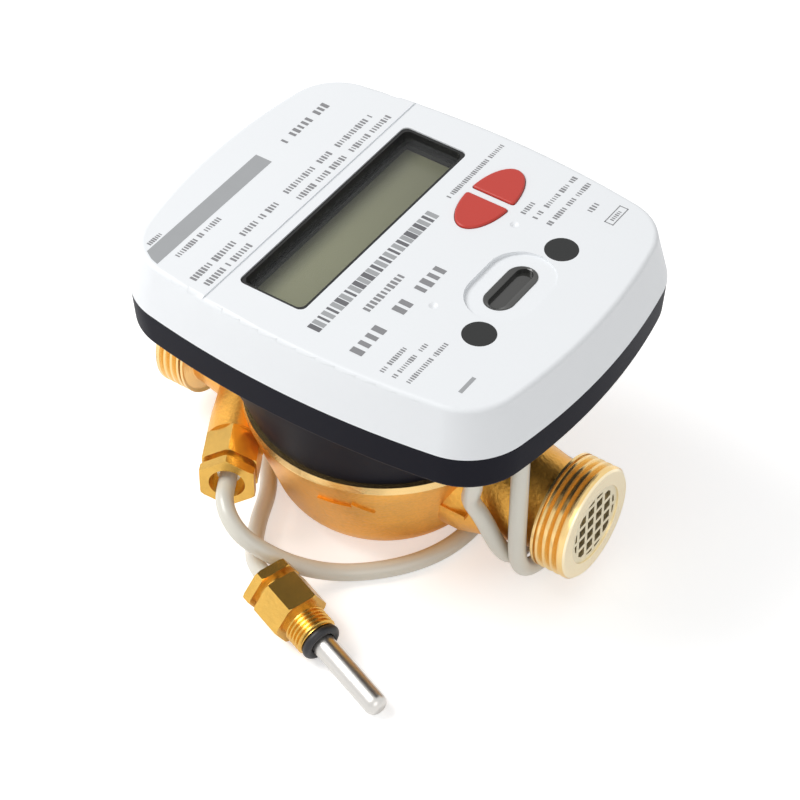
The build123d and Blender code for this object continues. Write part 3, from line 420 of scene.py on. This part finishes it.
def grained(name, colour, roughness, metallic=0.0, shade=0.10, grain=2500.0, blotch=60.0,
            depth=0.15, coat=0.0, spread=0.08, specular=0.5):
    """A material with the surface grain group in its colour, roughness and bump."""
    material, tree, shader = bare_material(name)
    skin = place_group(tree, "surface grain", Colour=(*colour, 1.0), Shade=shade, Grain=grain,
                       Blotch=blotch, Roughness=roughness, Roughness_change=spread)
    tree.links.new(skin.outputs["Colour"], shader.inputs["Base Color"])
    tree.links.new(skin.outputs["Roughness"], shader.inputs["Roughness"])
    shader.inputs["Metallic"].default_value = metallic
    shader.inputs["Coat Weight"].default_value = coat
    shader.inputs["Specular IOR Level"].default_value = specular
    add_bump(tree, shader, skin.outputs["Height"], depth)
    return material


def cast_brass_material(colours):
    """Blasted casting with bright cut rim and threads, and end faces in a paler colour that paints their
    highlight.
    """
    material, tree, shader = bare_material("cast brass")
    skin = place_group(tree, "surface grain", Colour=(*colours.cast_brass, 1.0), Shade=0.95,
                       Grain=1300.0, Blotch=70.0, Roughness=0.36, Roughness_change=0.35)
    zones = place_group(tree, "machined zones")
    mask = zones.outputs["Mask"]
    # The end faces take the end-face colour, a painted highlight over the turned brass.
    cut = mix_colour(tree, zones.outputs["Face"], colours.bright_brass, colours.end_face_highlight)
    colour = mix_colour(tree, mask, skin.outputs["Colour"], cut)
    tree.links.new(colour, shader.inputs["Base Color"])
    rough = tree.nodes.new("ShaderNodeMix")
    tree.links.new(mask, rough.inputs["Factor"])
    tree.links.new(skin.outputs["Roughness"], rough.inputs["A"])
    rough.inputs["B"].default_value = 0.24
    tree.links.new(rough.outputs["Result"], shader.inputs["Roughness"])
    height = tree.nodes.new("ShaderNodeMix")
    tree.links.new(mask, height.inputs["Factor"])
    tree.links.new(skin.outputs["Height"], height.inputs["A"])
    tree.links.new(math_node(tree, "MULTIPLY", zones.outputs["Marks"], 0.35), height.inputs["B"])
    shader.inputs["Metallic"].default_value = 0.92
    add_bump(tree, shader, height.outputs["Result"], 0.60)
    return material


# Where the painted bezel shadow starts and ends across the display, and where the painted dimming along it
# starts
DISPLAY_SHADE_START = 1.0 * MM
DISPLAY_SHADE_END = 6.5 * MM
DISPLAY_DIM_START = -10.0 * MM


def display_material(colours):
    """Display with painted shade: darker under its upper edge, where the bezel's shadow falls, and a little
    dimmer towards the keys' end.
    """
    material, tree, shader = bare_material("display panel")
    low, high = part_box("display_panel")
    _, axis = object_position(tree)
    # Painted shadow of the bezel: the colour darkens towards the panel's low X edge.
    across = map_range(tree, axis[0], low[0] + DISPLAY_SHADE_START, low[0] + DISPLAY_SHADE_END, 0.0, 1.0)
    dark = tuple(0.42 * value for value in colours.display)
    # Painted shade: the lit colour dims towards the keys' end.
    along = map_range(tree, axis[1], DISPLAY_DIM_START, high[1], 0.0, 1.0)
    dim = tuple(0.70 * value for value in colours.display)
    lit = mix_colour(tree, along, colours.display, dim)
    tree.links.new(mix_colour(tree, across, dark, lit), shader.inputs["Base Color"])
    shader.inputs["Roughness"].default_value = 0.30
    return material


def lens_material():
    """Clear window that keeps its reflection and lets the light through."""
    material, tree, shader = bare_material("display lens")
    skin = place_group(tree, "surface grain", Colour=(0.30, 0.31, 0.31, 1.0), Shade=0.02,
                       Roughness=0.04, Roughness_change=0.02)
    tree.links.new(skin.outputs["Colour"], shader.inputs["Base Color"])
    tree.links.new(skin.outputs["Roughness"], shader.inputs["Roughness"])
    shader.inputs["Alpha"].default_value = 0.08
    return material


def finish_table(colours):
    """Material for each finish of the record, by the finish's name.

    The numbers after a colour are roughness, metallic, shade, grain, blotch, depth and coat.
    """
    turned, base, cover, key, jacket = (tuple(colour) for colour in (
        colours.adapter_brass, colours.base, colours.cover, colours.key, colours.jacket))
    return {
        "body_brass": cast_brass_material(colours),
        "turned_brass": grained("turned brass", turned, 0.24, 0.84, 0.50, 900, 120, 0.12),
        "strainer_steel": grained("strainer steel", (0.82, 0.74, 0.54), 0.34, 1.0, 0.15, 3000, 150, 0.10),
        "plain_steel": grained("plain steel", (0.58, 0.58, 0.59), 0.30, 1.0, 0.10, 3000, 150, 0.10),
        "probe_steel": grained("probe steel", (0.66, 0.64, 0.61), 0.32, 1.0, 0.14, 2600, 160, 0.12),
        "disc_steel": grained("blackened disc", (0.024, 0.025, 0.025), 0.48, 0.0, 0.20, 4200, 300, 0.10,
                              specular=0.25),
        "impeller_plastic": grained("impeller plastic", (0.07, 0.16, 0.38), 0.42),
        "bearing_plastic": grained("bearing stone", (0.52, 0.03, 0.06), 0.12, 0.0, 0.1, 3000, 200, 0.02, 0.5),
        "chamber_plastic": grained("chamber plastic", (0.05, 0.05, 0.06), 0.34),
        "seal_rubber": grained("seal rubber", (0.014, 0.014, 0.016), 0.42, 0.0, 0.2, 3200, 140, 0.10),
        "gland_rubber": grained("gland rubber", (0.02, 0.02, 0.022), 0.55, 0.0, 0.2, 3200, 140, 0.15),
        "base_plastic": grained("base plastic", base, 0.48, 0.0, 0.2, 3600, 90, 0.12, specular=0.05),
        "cover_plastic": grained("cover plastic", cover, 0.42, 0.0, 0.03, 4200, 50, 0.05),
        "inner_plastic": grained("inner plastic", (0.022, 0.022, 0.022), 0.50, specular=0.25),
        "lens_clear": lens_material(),
        "panel_glass": display_material(colours),
        "board_green": grained("board lacquer", (0.02, 0.16, 0.06), 0.35, 0.0, 0.25, 900, 200, 0.1, 0.3),
        "key_red": grained("key plastic", key, 0.36, 0.0, 0.06, 3600, 90, 0.06),
        "window_dark": grained("smoked window", (0.030, 0.030, 0.028), 0.14, 0.0, 0.1, 2000, 80, 0.01, 0.4),
        "diode_clear": grained("clear diode", (0.50, 0.56, 0.66), 0.12, 0.0, 0.1, 2000, 80, 0.01, 0.4),
        "battery_sleeve": grained("battery sleeve", (0.06, 0.20, 0.40), 0.30, 0.0, 0.1, 1800, 80, 0.05, 0.3),
        "coil_copper": grained("enamelled wire", (0.60, 0.22, 0.08), 0.30, 1.0, 0.2, 5000, 200, 0.3),
        "terminal_plastic": grained("terminal plastic", (0.05, 0.24, 0.09), 0.42),
        "cable_jacket": grained("cable jacket", jacket, 0.30, 0.0, 0.10, 2200, 70, 0.06, 0.30),
        "tie_plastic": grained("tie plastic", (0.02, 0.02, 0.02), 0.45),
    }


# Geometry node trees


def new_geometry_tree(name, inputs):
    """A geometry tree with named inputs; returns it with its entry and exit nodes."""
    tree = bpy.data.node_groups.new(name, "GeometryNodeTree")
    identifiers = {}
    for label, kind, value in inputs:
        socket = tree.interface.new_socket(label, in_out="INPUT", socket_type=kind)
        if value is not None:
            socket.default_value = value
        identifiers[label] = socket.identifier
    tree.interface.new_socket("Geometry", in_out="OUTPUT", socket_type="NodeSocketGeometry")
    entry = tree.nodes.new("NodeGroupInput")
    leave = tree.nodes.new("NodeGroupOutput")
    return tree, identifiers, entry, leave


def build_mark_tree():
    """A row of small flat marks along Y, of changing width, with gaps between words."""
    tree, identifiers, entry, leave = new_geometry_tree("mark row", [
        ("Count", "NodeSocketInt", 10), ("Step", "NodeSocketFloat", 1.0 * MM),
        ("Height", "NodeSocketFloat", 1.4 * MM), ("Least height", "NodeSocketFloat", 0.6),
        ("Least width", "NodeSocketFloat", 0.4), ("Fill", "NodeSocketFloat", 0.7),
        ("Left out", "NodeSocketFloat", 0.1), ("Seed", "NodeSocketInt", 1),
        ("Finish", "NodeSocketMaterial", None)])
    line = tree.nodes.new("GeometryNodeMeshLine")
    step = tree.nodes.new("ShaderNodeCombineXYZ")
    tree.links.new(entry.outputs["Count"], line.inputs["Count"])
    tree.links.new(entry.outputs["Step"], step.inputs["Y"])
    tree.links.new(step.outputs[0], line.inputs["Offset"])
    chance = tree.nodes.new("FunctionNodeRandomValue")
    chance.data_type = "BOOLEAN"
    tree.links.new(entry.outputs["Left out"], chance.inputs["Probability"])
    tree.links.new(entry.outputs["Seed"], chance.inputs["Seed"])
    drop = tree.nodes.new("GeometryNodeDeleteGeometry")
    tree.links.new(line.outputs["Mesh"], drop.inputs["Geometry"])
    tree.links.new(chance.outputs[3], drop.inputs["Selection"])
    mark = tree.nodes.new("GeometryNodeMeshGrid")
    mark.inputs["Vertices X"].default_value = 2
    mark.inputs["Vertices Y"].default_value = 2
    tree.links.new(entry.outputs["Height"], mark.inputs["Size X"])
    width = math_node(tree, "MULTIPLY", entry.outputs["Step"], entry.outputs["Fill"])
    tree.links.new(width, mark.inputs["Size Y"])
    scale = tree.nodes.new("ShaderNodeCombineXYZ")
    for axis, least in (("X", "Least height"), ("Y", "Least width")):
        value = tree.nodes.new("FunctionNodeRandomValue")
        value.data_type = "FLOAT"
        tree.links.new(entry.outputs[least], value.inputs[2])
        value.inputs[3].default_value = 1.0
        tree.links.new(entry.outputs["Seed"], value.inputs["Seed"])
        tree.links.new(value.outputs[1], scale.inputs[axis])
    scale.inputs["Z"].default_value = 1.0
    place = tree.nodes.new("GeometryNodeInstanceOnPoints")
    tree.links.new(drop.outputs[0], place.inputs["Points"])
    tree.links.new(mark.outputs["Mesh"], place.inputs["Instance"])
    tree.links.new(scale.outputs[0], place.inputs["Scale"])
    real = tree.nodes.new("GeometryNodeRealizeInstances")
    tree.links.new(place.outputs[0], real.inputs[0])
    finish = tree.nodes.new("GeometryNodeSetMaterial")
    tree.links.new(real.outputs[0], finish.inputs["Geometry"])
    tree.links.new(entry.outputs["Finish"], finish.inputs["Material"])
    tree.links.new(finish.outputs[0], leave.inputs[0])
    return tree, identifiers


def grown_mesh(tree, identifiers, values):
    """The plain mesh that a geometry tree makes with these values."""
    carrier = add_object("carrier", bpy.data.meshes.new("carrier"))
    modifier = carrier.modifiers.new("tree", "NODES")
    modifier.node_group = tree
    for label, value in values.items():
        modifier[identifiers[label]] = value
    mesh = evaluated_mesh(carrier)
    bpy.data.objects.remove(carrier)
    return mesh


# Cables


RETURN_ROUTE_MM = [
    (43.94, -13.60, 47.6), (43.94, -13.60, 40.0), (44.0, -14.0, 26.0), (44.0, -14.0, 15.0),
    (44.0, -11.4, 8.2), (44.1, -5.0, 4.6), (44.3, 4.0, 3.4), (44.2, 12.2, 3.8), (42.4, 18.4, 5.0),
    (37.6, 21.9, 6.4), (31.6, 21.9, 6.9), (26.8, 18.4, 6.4), (25.0, 12.2, 4.8), (25.1, 4.0, 2.5),
    (25.4, -5.0, 2.0), (23.0, -14.4, 2.0), (17.4, -23.0, 2.0), (9.0, -30.6, 2.2), (3.0, -37.8, 7.4),
    (-2.8, -41.6, 11.8), (-8.5, -43.6, 16.2), (-14.6, -40.5, 19.0), (-18.2, -33.8, 19.0),
    (-18.85, -32.63, 19.0),
]
SUPPLY_START_MM = [
    (38.38, -22.52, 47.6), (38.38, -22.52, 40.0), (34.0, -17.9, 30.0), (35.8, -14.9, 22.8),
    (39.0, -13.8, 14.5), (40.0, -9.5, 8.0), (39.2, -2.0, 5.2), (38.5, 5.0, 3.2), (36.5, 12.0, 2.0),
    (30.0, 22.0, 2.0), (22.0, 28.5, 2.0), (14.5, 38.5, 2.2), (11.8, 51.0, 2.6),
]
SUPPLY_END_MM = [
    (-51.8, 48.0, 5.6), (-49.0, 35.5, 2.2), (-42.5, 21.0, 2.0), (-35.0, 8.0, 2.0), (-30.0, -4.0, 2.0),
    (-24.2, -12.0, 2.0), (-18.6, -19.2, 2.0), (-15.3, -27.8, 2.0), (-10.8, -35.6, 2.4),
    (-3.76, -43.67, 8.15), (3.34, -45.89, 7.15),
]
POINTS_PER_TURN = 16
RETURN_STEPS = 12
SUPPLY_STEPS = 10


def coil_points(sizes):
    """Points of the tied turns: inwards in the lower layer, outwards in the upper one."""
    centre = Vector(sizes.coil_centre)
    pitch = sizes.turn_pitch
    inwards = [sizes.outer_turn - column * pitch for column in range(sizes.columns)]
    radii = inwards + inwards[::-1]
    levels = [0.0] * sizes.columns + [pitch] * sizes.columns
    swell = 1.0 / (0.5 + 0.5 * math.cos(math.pi / POINTS_PER_TURN))
    count = int((2 * sizes.columns - 0.5) * POINTS_PER_TURN) + 1
    points = []
    for index in range(count):
        turn, step = divmod(index, POINTS_PER_TURN)
        share = step / POINTS_PER_TURN
        shift = max(0.0, (share - 0.75) / 0.25)
        after = min(turn + 1, len(radii) - 1)
        radius = (radii[turn] * (1 - shift) + radii[after] * shift) * swell
        level = levels[turn] * (1 - shift) + levels[after] * shift
        angle = 2 * math.pi * share
        points.append(centre + Vector((radius * math.cos(angle), radius * math.sin(angle), level)))
    return points


def cable_line(name, points, steps):
    """Points along the smooth line through a route, as Blender's own spline gives them."""
    curve = bpy.data.curves.new(name, "CURVE")
    curve.dimensions = "3D"
    curve.resolution_u = steps
    spline = curve.splines.new("NURBS")
    spline.points.add(len(points) - 1)
    for point, place in zip(spline.points, points):
        point.co = (*place, 1.0)
    spline.order_u = 3
    spline.use_endpoint_u = True
    carrier = add_object(name, curve)
    mesh = evaluated_mesh(carrier)
    line = [vertex.co.copy() for vertex in mesh.vertices]
    bpy.data.objects.remove(carrier)
    return line


def tube_mesh(name, line, radius, sides):
    """A closed round tube along a line, its rings carried along without twist."""
    vertices = []
    faces = []
    side = None
    for index, centre in enumerate(line):
        before = line[max(index - 1, 0)]
        after = line[min(index + 1, len(line) - 1)]
        along = (after - before).normalized()
        if side is None:
            side = along.orthogonal().normalized()
        side = (side - along * side.dot(along)).normalized()
        up = along.cross(side)
        for corner in range(sides):
            angle = 2 * math.pi * corner / sides
            vertices.append(centre + (side * math.cos(angle) + up * math.sin(angle)) * radius)
    for ring in range(len(line) - 1):
        faces += ring_faces(ring * sides, (ring + 1) * sides, sides)
    faces.append(tuple(range(sides)))
    last = (len(line) - 1) * sides
    faces.append(tuple(range(last, last + sides)))
    mesh = mesh_from(vertices, faces, name)
    for face in mesh.polygons:
        face.use_smooth = len(face.vertices) == 4
    return mesh


def line_length(line):
    """Length of a line of points."""
    return sum((b - a).length for a, b in zip(line, line[1:]))


def cable_piece(name, points, steps, sizes):
    """A cable's tube and the line that it follows."""
    line = cable_line(name + "_line", points, steps)
    piece = add_object(name, tube_mesh(name, line, sizes.diameter / 2, sizes.sides))
    piece.data.materials.append(FINISHES["cable_jacket"])
    print(name, "length", round(line_length(line), 4))
    return piece, line


def blend_to_head(piece):
    """Bakes the piece's placement into its mesh."""
    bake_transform(piece)


# Operators

FINISHES = {}
MAIN_LAMP_PLACE = (-0.62, -0.30, 0.85)
MAIN_LAMP_SIZE = 0.55
SIDE_LAMP_PLACE = (0.75, -0.55, 0.55)
SIDE_LAMP_SIZE = 0.60
LAMP_TARGET = (0.0, 0.0, 0.04)
GLOW_IN_GLOSS = 0.30
GLOW_IN_VIEW = 0.46
WHITE = (1.0, 1.0, 1.0, 1.0)


def reflected_rays(tree, paths):
    """1 for rays that come off gloss or through glass, otherwise 0."""
    return math_node(tree, "MAXIMUM", paths.outputs["Is Glossy Ray"], paths.outputs["Is Transmission Ray"])


class METER_OT_stage(bpy.types.Operator):
    """Add the floor, the lamps, the surroundings and the camera."""

    bl_idname = "meter.stage"
    bl_label = "Stage"

    def execute(self, context):
        colours, _, _, stage = settings(context)
        scene = context.scene
        scene.view_settings.view_transform = "Standard"
        camera = bpy.data.objects.new("camera", bpy.data.cameras.new("camera"))
        camera.data.lens = stage.lens
        camera.data.sensor_width = 36.0
        camera.data.clip_start = 0.01
        camera.location = stage.camera_place
        sight = Vector(stage.camera_target) - Vector(stage.camera_place)
        turn = sight.to_track_quat("-Z", "Y").to_matrix().to_4x4()
        roll = turn.Rotation(stage.camera_roll, 4, "Z")
        camera.rotation_euler = (turn @ roll).to_euler()
        scene.collection.objects.link(camera)
        scene.camera = camera
        self.add_lamp(scene, "main lamp", MAIN_LAMP_PLACE, MAIN_LAMP_SIZE, stage.key_power)
        self.add_lamp(scene, "side lamp", SIDE_LAMP_PLACE, SIDE_LAMP_SIZE, stage.fill_power)
        self.add_surroundings(scene, stage)
        self.add_floor(colours, stage)
        return {"FINISHED"}

    def add_lamp(self, scene, name, place, size, power):
        """A square lamp that looks at the meter."""
        data = bpy.data.lights.new(name, "AREA")
        data.size = size
        data.energy = power
        lamp = bpy.data.objects.new(name, data)
        lamp.location = place
        sight = Vector(LAMP_TARGET) - Vector(place)
        lamp.rotation_euler = sight.to_track_quat("-Z", "Y").to_euler()
        scene.collection.objects.link(lamp)

    def add_surroundings(self, scene, stage):
        """Even light, seen as plain white by the camera and in gloss."""
        world = bpy.data.worlds.new("surroundings")
        world.use_nodes = True
        tree = world.node_tree
        paths = tree.nodes.new("ShaderNodeLightPath")
        seen = math_node(tree, "MAXIMUM", paths.outputs["Is Camera Ray"], reflected_rays(tree, paths))
        strength = map_range(tree, seen, 0.0, 1.0, stage.sky, 1.0)
        sky = tree.nodes["Background"]
        sky.inputs["Color"].default_value = WHITE
        tree.links.new(strength, sky.inputs["Strength"])
        scene.world = world

    def add_floor(self, colours, stage):
        """A pale floor that shows the object's shadow and is white elsewhere."""
        half = stage.floor_size / 2
        corners = [(-half, -half, 0), (half, -half, 0), (half, half, 0), (-half, half, 0)]
        floor = add_object("floor", mesh_from(corners, [(0, 1, 2, 3)], "floor"))
        material, tree, shader = bare_material("floor")
        shader.inputs["Base Color"].default_value = (*colours.floor, 1.0)
        shader.inputs["Roughness"].default_value = 0.9
        shader.inputs["Specular IOR Level"].default_value = 0.1
        shader.inputs["Emission Color"].default_value = WHITE
        paths = tree.nodes.new("ShaderNodeLightPath")
        gloss_glow = math_node(tree, "MULTIPLY", reflected_rays(tree, paths), GLOW_IN_GLOSS)
        view_glow = math_node(tree, "MULTIPLY", paths.outputs["Is Camera Ray"], GLOW_IN_VIEW)
        glow = math_node(tree, "MAXIMUM", gloss_glow, view_glow)
        tree.links.new(glow, shader.inputs["Emission Strength"])
        floor.data.materials.append(material)


SMOOTHED = ("top_cover", "base_shell", "flow_body")
SHARP_ANGLE = math.radians(50)
WELD_DISTANCE = 0.01 * MM


def smooth_moulding(node):
    """Even shading over a moulding's rounded edges, its sharp edges kept."""
    weld = node.modifiers.new("weld", "WELD")
    weld.merge_threshold = WELD_DISTANCE
    split = node.modifiers.new("split", "EDGE_SPLIT")
    split.split_angle = SHARP_ANGLE
    split.use_edge_sharp = False
    even = node.modifiers.new("even", "WEIGHTED_NORMAL")
    even.keep_sharp = True


class METER_OT_finishes(bpy.types.Operator):
    """Give every CAD node the material of its finish."""

    bl_idname = "meter.finishes"
    bl_label = "Finishes"

    def execute(self, context):
        colours = settings(context)[0]
        FINISHES.update(finish_table(colours))
        for entry in frame["record"]["subparts"]:
            node = frame["nodes"][entry["node"]]
            material = FINISHES[entry["material_slot"]]
            if node.material_slots:
                for place in node.material_slots:
                    place.material = material
            else:
                node.data.materials.append(material)
        for name in SMOOTHED:
            smooth_moulding(frame["nodes"][name])
        return {"FINISHED"}


class METER_OT_return_cable(bpy.types.Operator):
    """Build the short cable from the head to the probe in the body."""

    bl_idname = "meter.return_cable"
    bl_label = "Return cable"

    def execute(self, context):
        sizes = settings(context)[1]
        route = [Vector(point) * MM for point in RETURN_ROUTE_MM]
        piece, line = cable_piece("return_probe_cable", route, RETURN_STEPS, sizes)
        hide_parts("return_cable")
        blend_to_head(piece)
        return {"FINISHED"}


class METER_OT_supply_cable(bpy.types.Operator):
    """Build the long cable: round the outlet neck, through the coil, to the free probe."""

    bl_idname = "meter.supply_cable"
    bl_label = "Supply cable"

    def execute(self, context):
        sizes = settings(context)[1]
        start = [Vector(point) * MM for point in SUPPLY_START_MM]
        end = [Vector(point) * MM for point in SUPPLY_END_MM]
        route = start + coil_points(sizes) + end
        piece, line = cable_piece("supply_probe_cable", route, SUPPLY_STEPS, sizes)
        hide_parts("supply_cable_upper", "supply_cable_lower", "supply_cable_coil")
        blend_to_head(piece)
        return {"FINISHED"}


# Rows of print on the cover: across the face, from, to, height of the marks, step between marks
MARK_ROWS_MM = [
    (-37.2, -31.9, -27.3, 1.1, 0.62), (-30.1, -31.5, -16.4, 1.4, 0.74), (-33.8, 10.4, 27.0, 2.1, 1.48),
    (-23.1, -35.3, -20.4, 1.7, 0.9), (-23.1, -18.6, -5.6, 1.7, 0.9), (-19.9, -35.0, -18.7, 1.7, 0.9),
    (-23.6, -2.6, 14.1, 1.6, 0.86), (-23.6, 16.0, 29.3, 1.6, 0.86), (-20.2, -2.7, 15.2, 1.6, 0.86),
    (-20.2, 16.4, 31.6, 1.6, 0.86), (11.4, -22.9, -9.4, 1.9, 1.21), (5.6, 15.0, 36.8, 1.2, 0.66),
    (21.3, 20.2, 25.1, 1.3, 0.74), (24.2, 20.3, 37.2, 1.3, 0.74), (27.7, 20.3, 36.9, 1.3, 0.74),
    (32.5, 28.6, 33.4, 1.5, 0.86), (24.2, -35.6, -26.4, 1.2, 0.66), (27.1, -35.6, -23.2, 1.2, 0.66),
    (30.3, -35.2, -21.1, 1.2, 0.66), (37.8, 28.9, 33.2, 1.0, 0.62),
]
LARGE_ROW_MM = [(16.9, -34.6, -22.6, 3.2, 2.5), (16.9, -19.8, -14.4, 3.2, 2.3), (16.9, -12.2, -1.0, 3.2, 2.3)]
STRIPE_MM = (4.4, 7.4, -34.2, 9.2)
STRIPE_SEED = 77
PALE_START = 0.80
PALE_END = 1.20
GREY_BAR_MM = [(-36.2, -33.6), (-34.0, -34.9), (-32.0, -35.5), (-32.0, 4.1), (-36.2, 4.1)]
SHORT_BAR_MM = (39.8, 40.7, -31.5, -26.4)
PILL_MM = (36.7, 38.9, 27.8, 34.1)
PILL_LINE_MM = 0.22


def rectangle(left, right, start, end):
    """Corners of a field given in millimetres."""
    return [(x * MM, y * MM) for x, y in ((left, start), (right, start), (right, end), (left, end))]


class METER_OT_print(bpy.types.Operator):
    """Print the plain bars, stripes and rows of marks on the cover."""

    bl_idname = "meter.face_print"
    bl_label = "Print"

    def execute(self, context):
        colours, _, sizes, _ = settings(context)
        ink = grained("dark ink", tuple(colours.ink), 0.5, 0.0, 0.15, 5000, 300, 0.02)
        soft = grained("mid ink", tuple(colours.mid_ink), 0.5, 0.0, 0.15, 5000, 300, 0.02)
        grey = grained("grey ink", tuple(colours.pale_ink), 0.5, 0.0, 0.10, 5000, 300, 0.02)
        marks = build_mark_tree()
        words = {"Least height": 0.75, "Least width": 0.45, "Fill": sizes.stem_width, "Finish": soft}
        rows = []
        for seed, row in enumerate(MARK_ROWS_MM + LARGE_ROW_MM):
            gap = 0.0 if row in LARGE_ROW_MM else sizes.word_gap
            rows.append(self.row(marks, row, {**words, "Left out": gap, "Seed": seed}))
        left, right, start, end = STRIPE_MM
        stripe = ((left + right) / 2, start, end, right - left, (end - start) / sizes.bar_count)
        bars = {"Count": sizes.bar_count, "Least height": 1.0, "Least width": 0.4, "Fill": 0.48,
                "Left out": 0.0, "Finish": ink, "Seed": STRIPE_SEED}
        self.join(rows, "face_print", soft)
        self.join([self.row(marks, stripe, bars)], "face_stripes", ink)
        self.fields(grey, sizes.bar_count)
        return {"FINISHED"}

    def row(self, marks, row, values):
        """The place of a row's first mark, across and along the face, and the row's mesh."""
        tree, identifiers = marks
        x, start, end, height, step = row
        shape = {"Count": int((end - start) / step), "Step": step * MM, "Height": height * MM}
        return x, start + step / 2, grown_mesh(tree, identifiers, {**shape, **values})

    def join(self, rows, name, ink):
        """Rows as one thin printed layer on the cover."""
        work = bmesh.new()
        for x, y, mesh in rows:
            known = len(work.verts)
            work.from_mesh(mesh)
            work.verts.ensure_lookup_table()
            for vertex in work.verts[known:]:
                vertex.co += Vector((x * MM, y * MM, FACE_HEIGHT + PRINT_THICKNESS))
        if len(rows) > 1:
            self.add_outline(work)
        mesh = bpy.data.meshes.new(name)
        work.to_mesh(mesh)
        work.free()
        mesh.materials.append(ink)
        piece = add_object(name, mesh)
        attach(piece, "calculator")

    def add_outline(self, work):
        """Thin frame round the small marks at the corner."""
        left, right, start, end = PILL_MM
        line = PILL_LINE_MM
        z = FACE_HEIGHT + PRINT_THICKNESS
        for sides in ((left, left + line, start, end), (right - line, right, start, end),
                      (left, right, start, start + line), (left, right, end - line, end)):
            corners = [work.verts.new((x, y, z)) for x, y in rectangle(*sides)]
            work.faces.new(corners)

    def fields(self, grey, bars):
        """The plain grey bar, the short bar and the pale bars between the stripes."""
        left, right, start, end = STRIPE_MM
        step = (end - start) / bars
        outlines = [[(x * MM, y * MM) for x, y in GREY_BAR_MM], rectangle(*SHORT_BAR_MM)]
        for bar in range(bars):
            outlines.append(rectangle(left, right, start + (bar + PALE_START) * step,
                                      start + (bar + PALE_END) * step))
        mesh = prisms_mesh(outlines, FACE_HEIGHT - PRINT_SINK, FACE_HEIGHT + PRINT_THICKNESS, "face_fields")
        piece = add_object("face_fields", mesh)
        piece.data.materials.append(grey)
        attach(piece, "calculator")


# Loops of the dark surround: width and length of the oval, height over the recess's floor
SURROUND_MM = [
    (7.0, 15.0, -0.02), (6.9, 14.9, 0.12), (6.5, 14.5, 0.15), (5.0, 14.1, 0.06), (3.9, 13.8, -0.04),
]
OVAL_POINTS = 48
PORT_X = 31.6 * MM
PORT_FLOOR = 75.45 * MM
PORT_SLOPE = math.tan(math.radians(3.0))


def oval_loop(width, length, height):
    """Points of an oval over the sloping floor of the recess, from sizes in millimetres."""
    radius = width / 2 * MM
    straight = (length - width) / 2 * MM
    points = []
    for index in range(OVAL_POINTS):
        angle = 2 * math.pi * (index + 0.5) / OVAL_POINTS
        x = radius * math.cos(angle)
        y = radius * math.sin(angle) + math.copysign(straight, math.sin(angle))
        points.append((PORT_X + x, y, PORT_FLOOR + PORT_SLOPE * x + height * MM))
    return points


class METER_OT_surround(bpy.types.Operator):
    """Lay the thin dark surround of the optical window in its recess."""

    bl_idname = "meter.surround"
    bl_label = "Window surround"

    def execute(self, context):
        vertices = []
        faces = []
        for loop, sizes in enumerate(SURROUND_MM):
            vertices += oval_loop(*sizes)
            after = (loop + 1) % len(SURROUND_MM)
            faces += ring_faces(loop * OVAL_POINTS, after * OVAL_POINTS, OVAL_POINTS)
        piece = add_object("window_surround", mesh_from(vertices, faces, "window_surround"))
        piece.data.materials.append(FINISHES["window_dark"])
        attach(piece, "calculator")
        return {"FINISHED"}


class METER_PT_panel(bpy.types.Panel):
    """Buttons for each group of pieces."""

    bl_label = "Heat meter"
    bl_space_type = "VIEW_3D"
    bl_region_type = "UI"
    bl_category = "Heat meter"

    def draw(self, context):
        for operator in OPERATORS:
            self.layout.operator(operator.bl_idname)


GROUPS = (
    ("meter_colours", MeterColours),
    ("meter_cables", CableSizes),
    ("meter_print", PrintSizes),
    ("meter_stage", StageSettings),
)
OPERATORS = (
    METER_OT_stage,
    METER_OT_finishes,
    METER_OT_supply_cable,
    METER_OT_return_cable,
    METER_OT_print,
    METER_OT_surround,
)


def register():
    for name, group in GROUPS:
        bpy.utils.register_class(group)
        setattr(bpy.types.Scene, name, bpy.props.PointerProperty(type=group))
    for operator in OPERATORS:
        bpy.utils.register_class(operator)
    bpy.utils.register_class(METER_PT_panel)


def unregister():
    bpy.utils.unregister_class(METER_PT_panel)
    for operator in reversed(OPERATORS):
        bpy.utils.unregister_class(operator)
    for name, group in reversed(GROUPS):
        delattr(bpy.types.Scene, name)
        bpy.utils.unregister_class(group)


def main():
    register()
    bpy.ops.meter.stage()
    bpy.ops.meter.finishes()
    bpy.ops.meter.supply_cable()
    bpy.ops.meter.return_cable()
    bpy.ops.meter.face_print()
    bpy.ops.meter.surround()


if __name__ == "__main__":
    main()
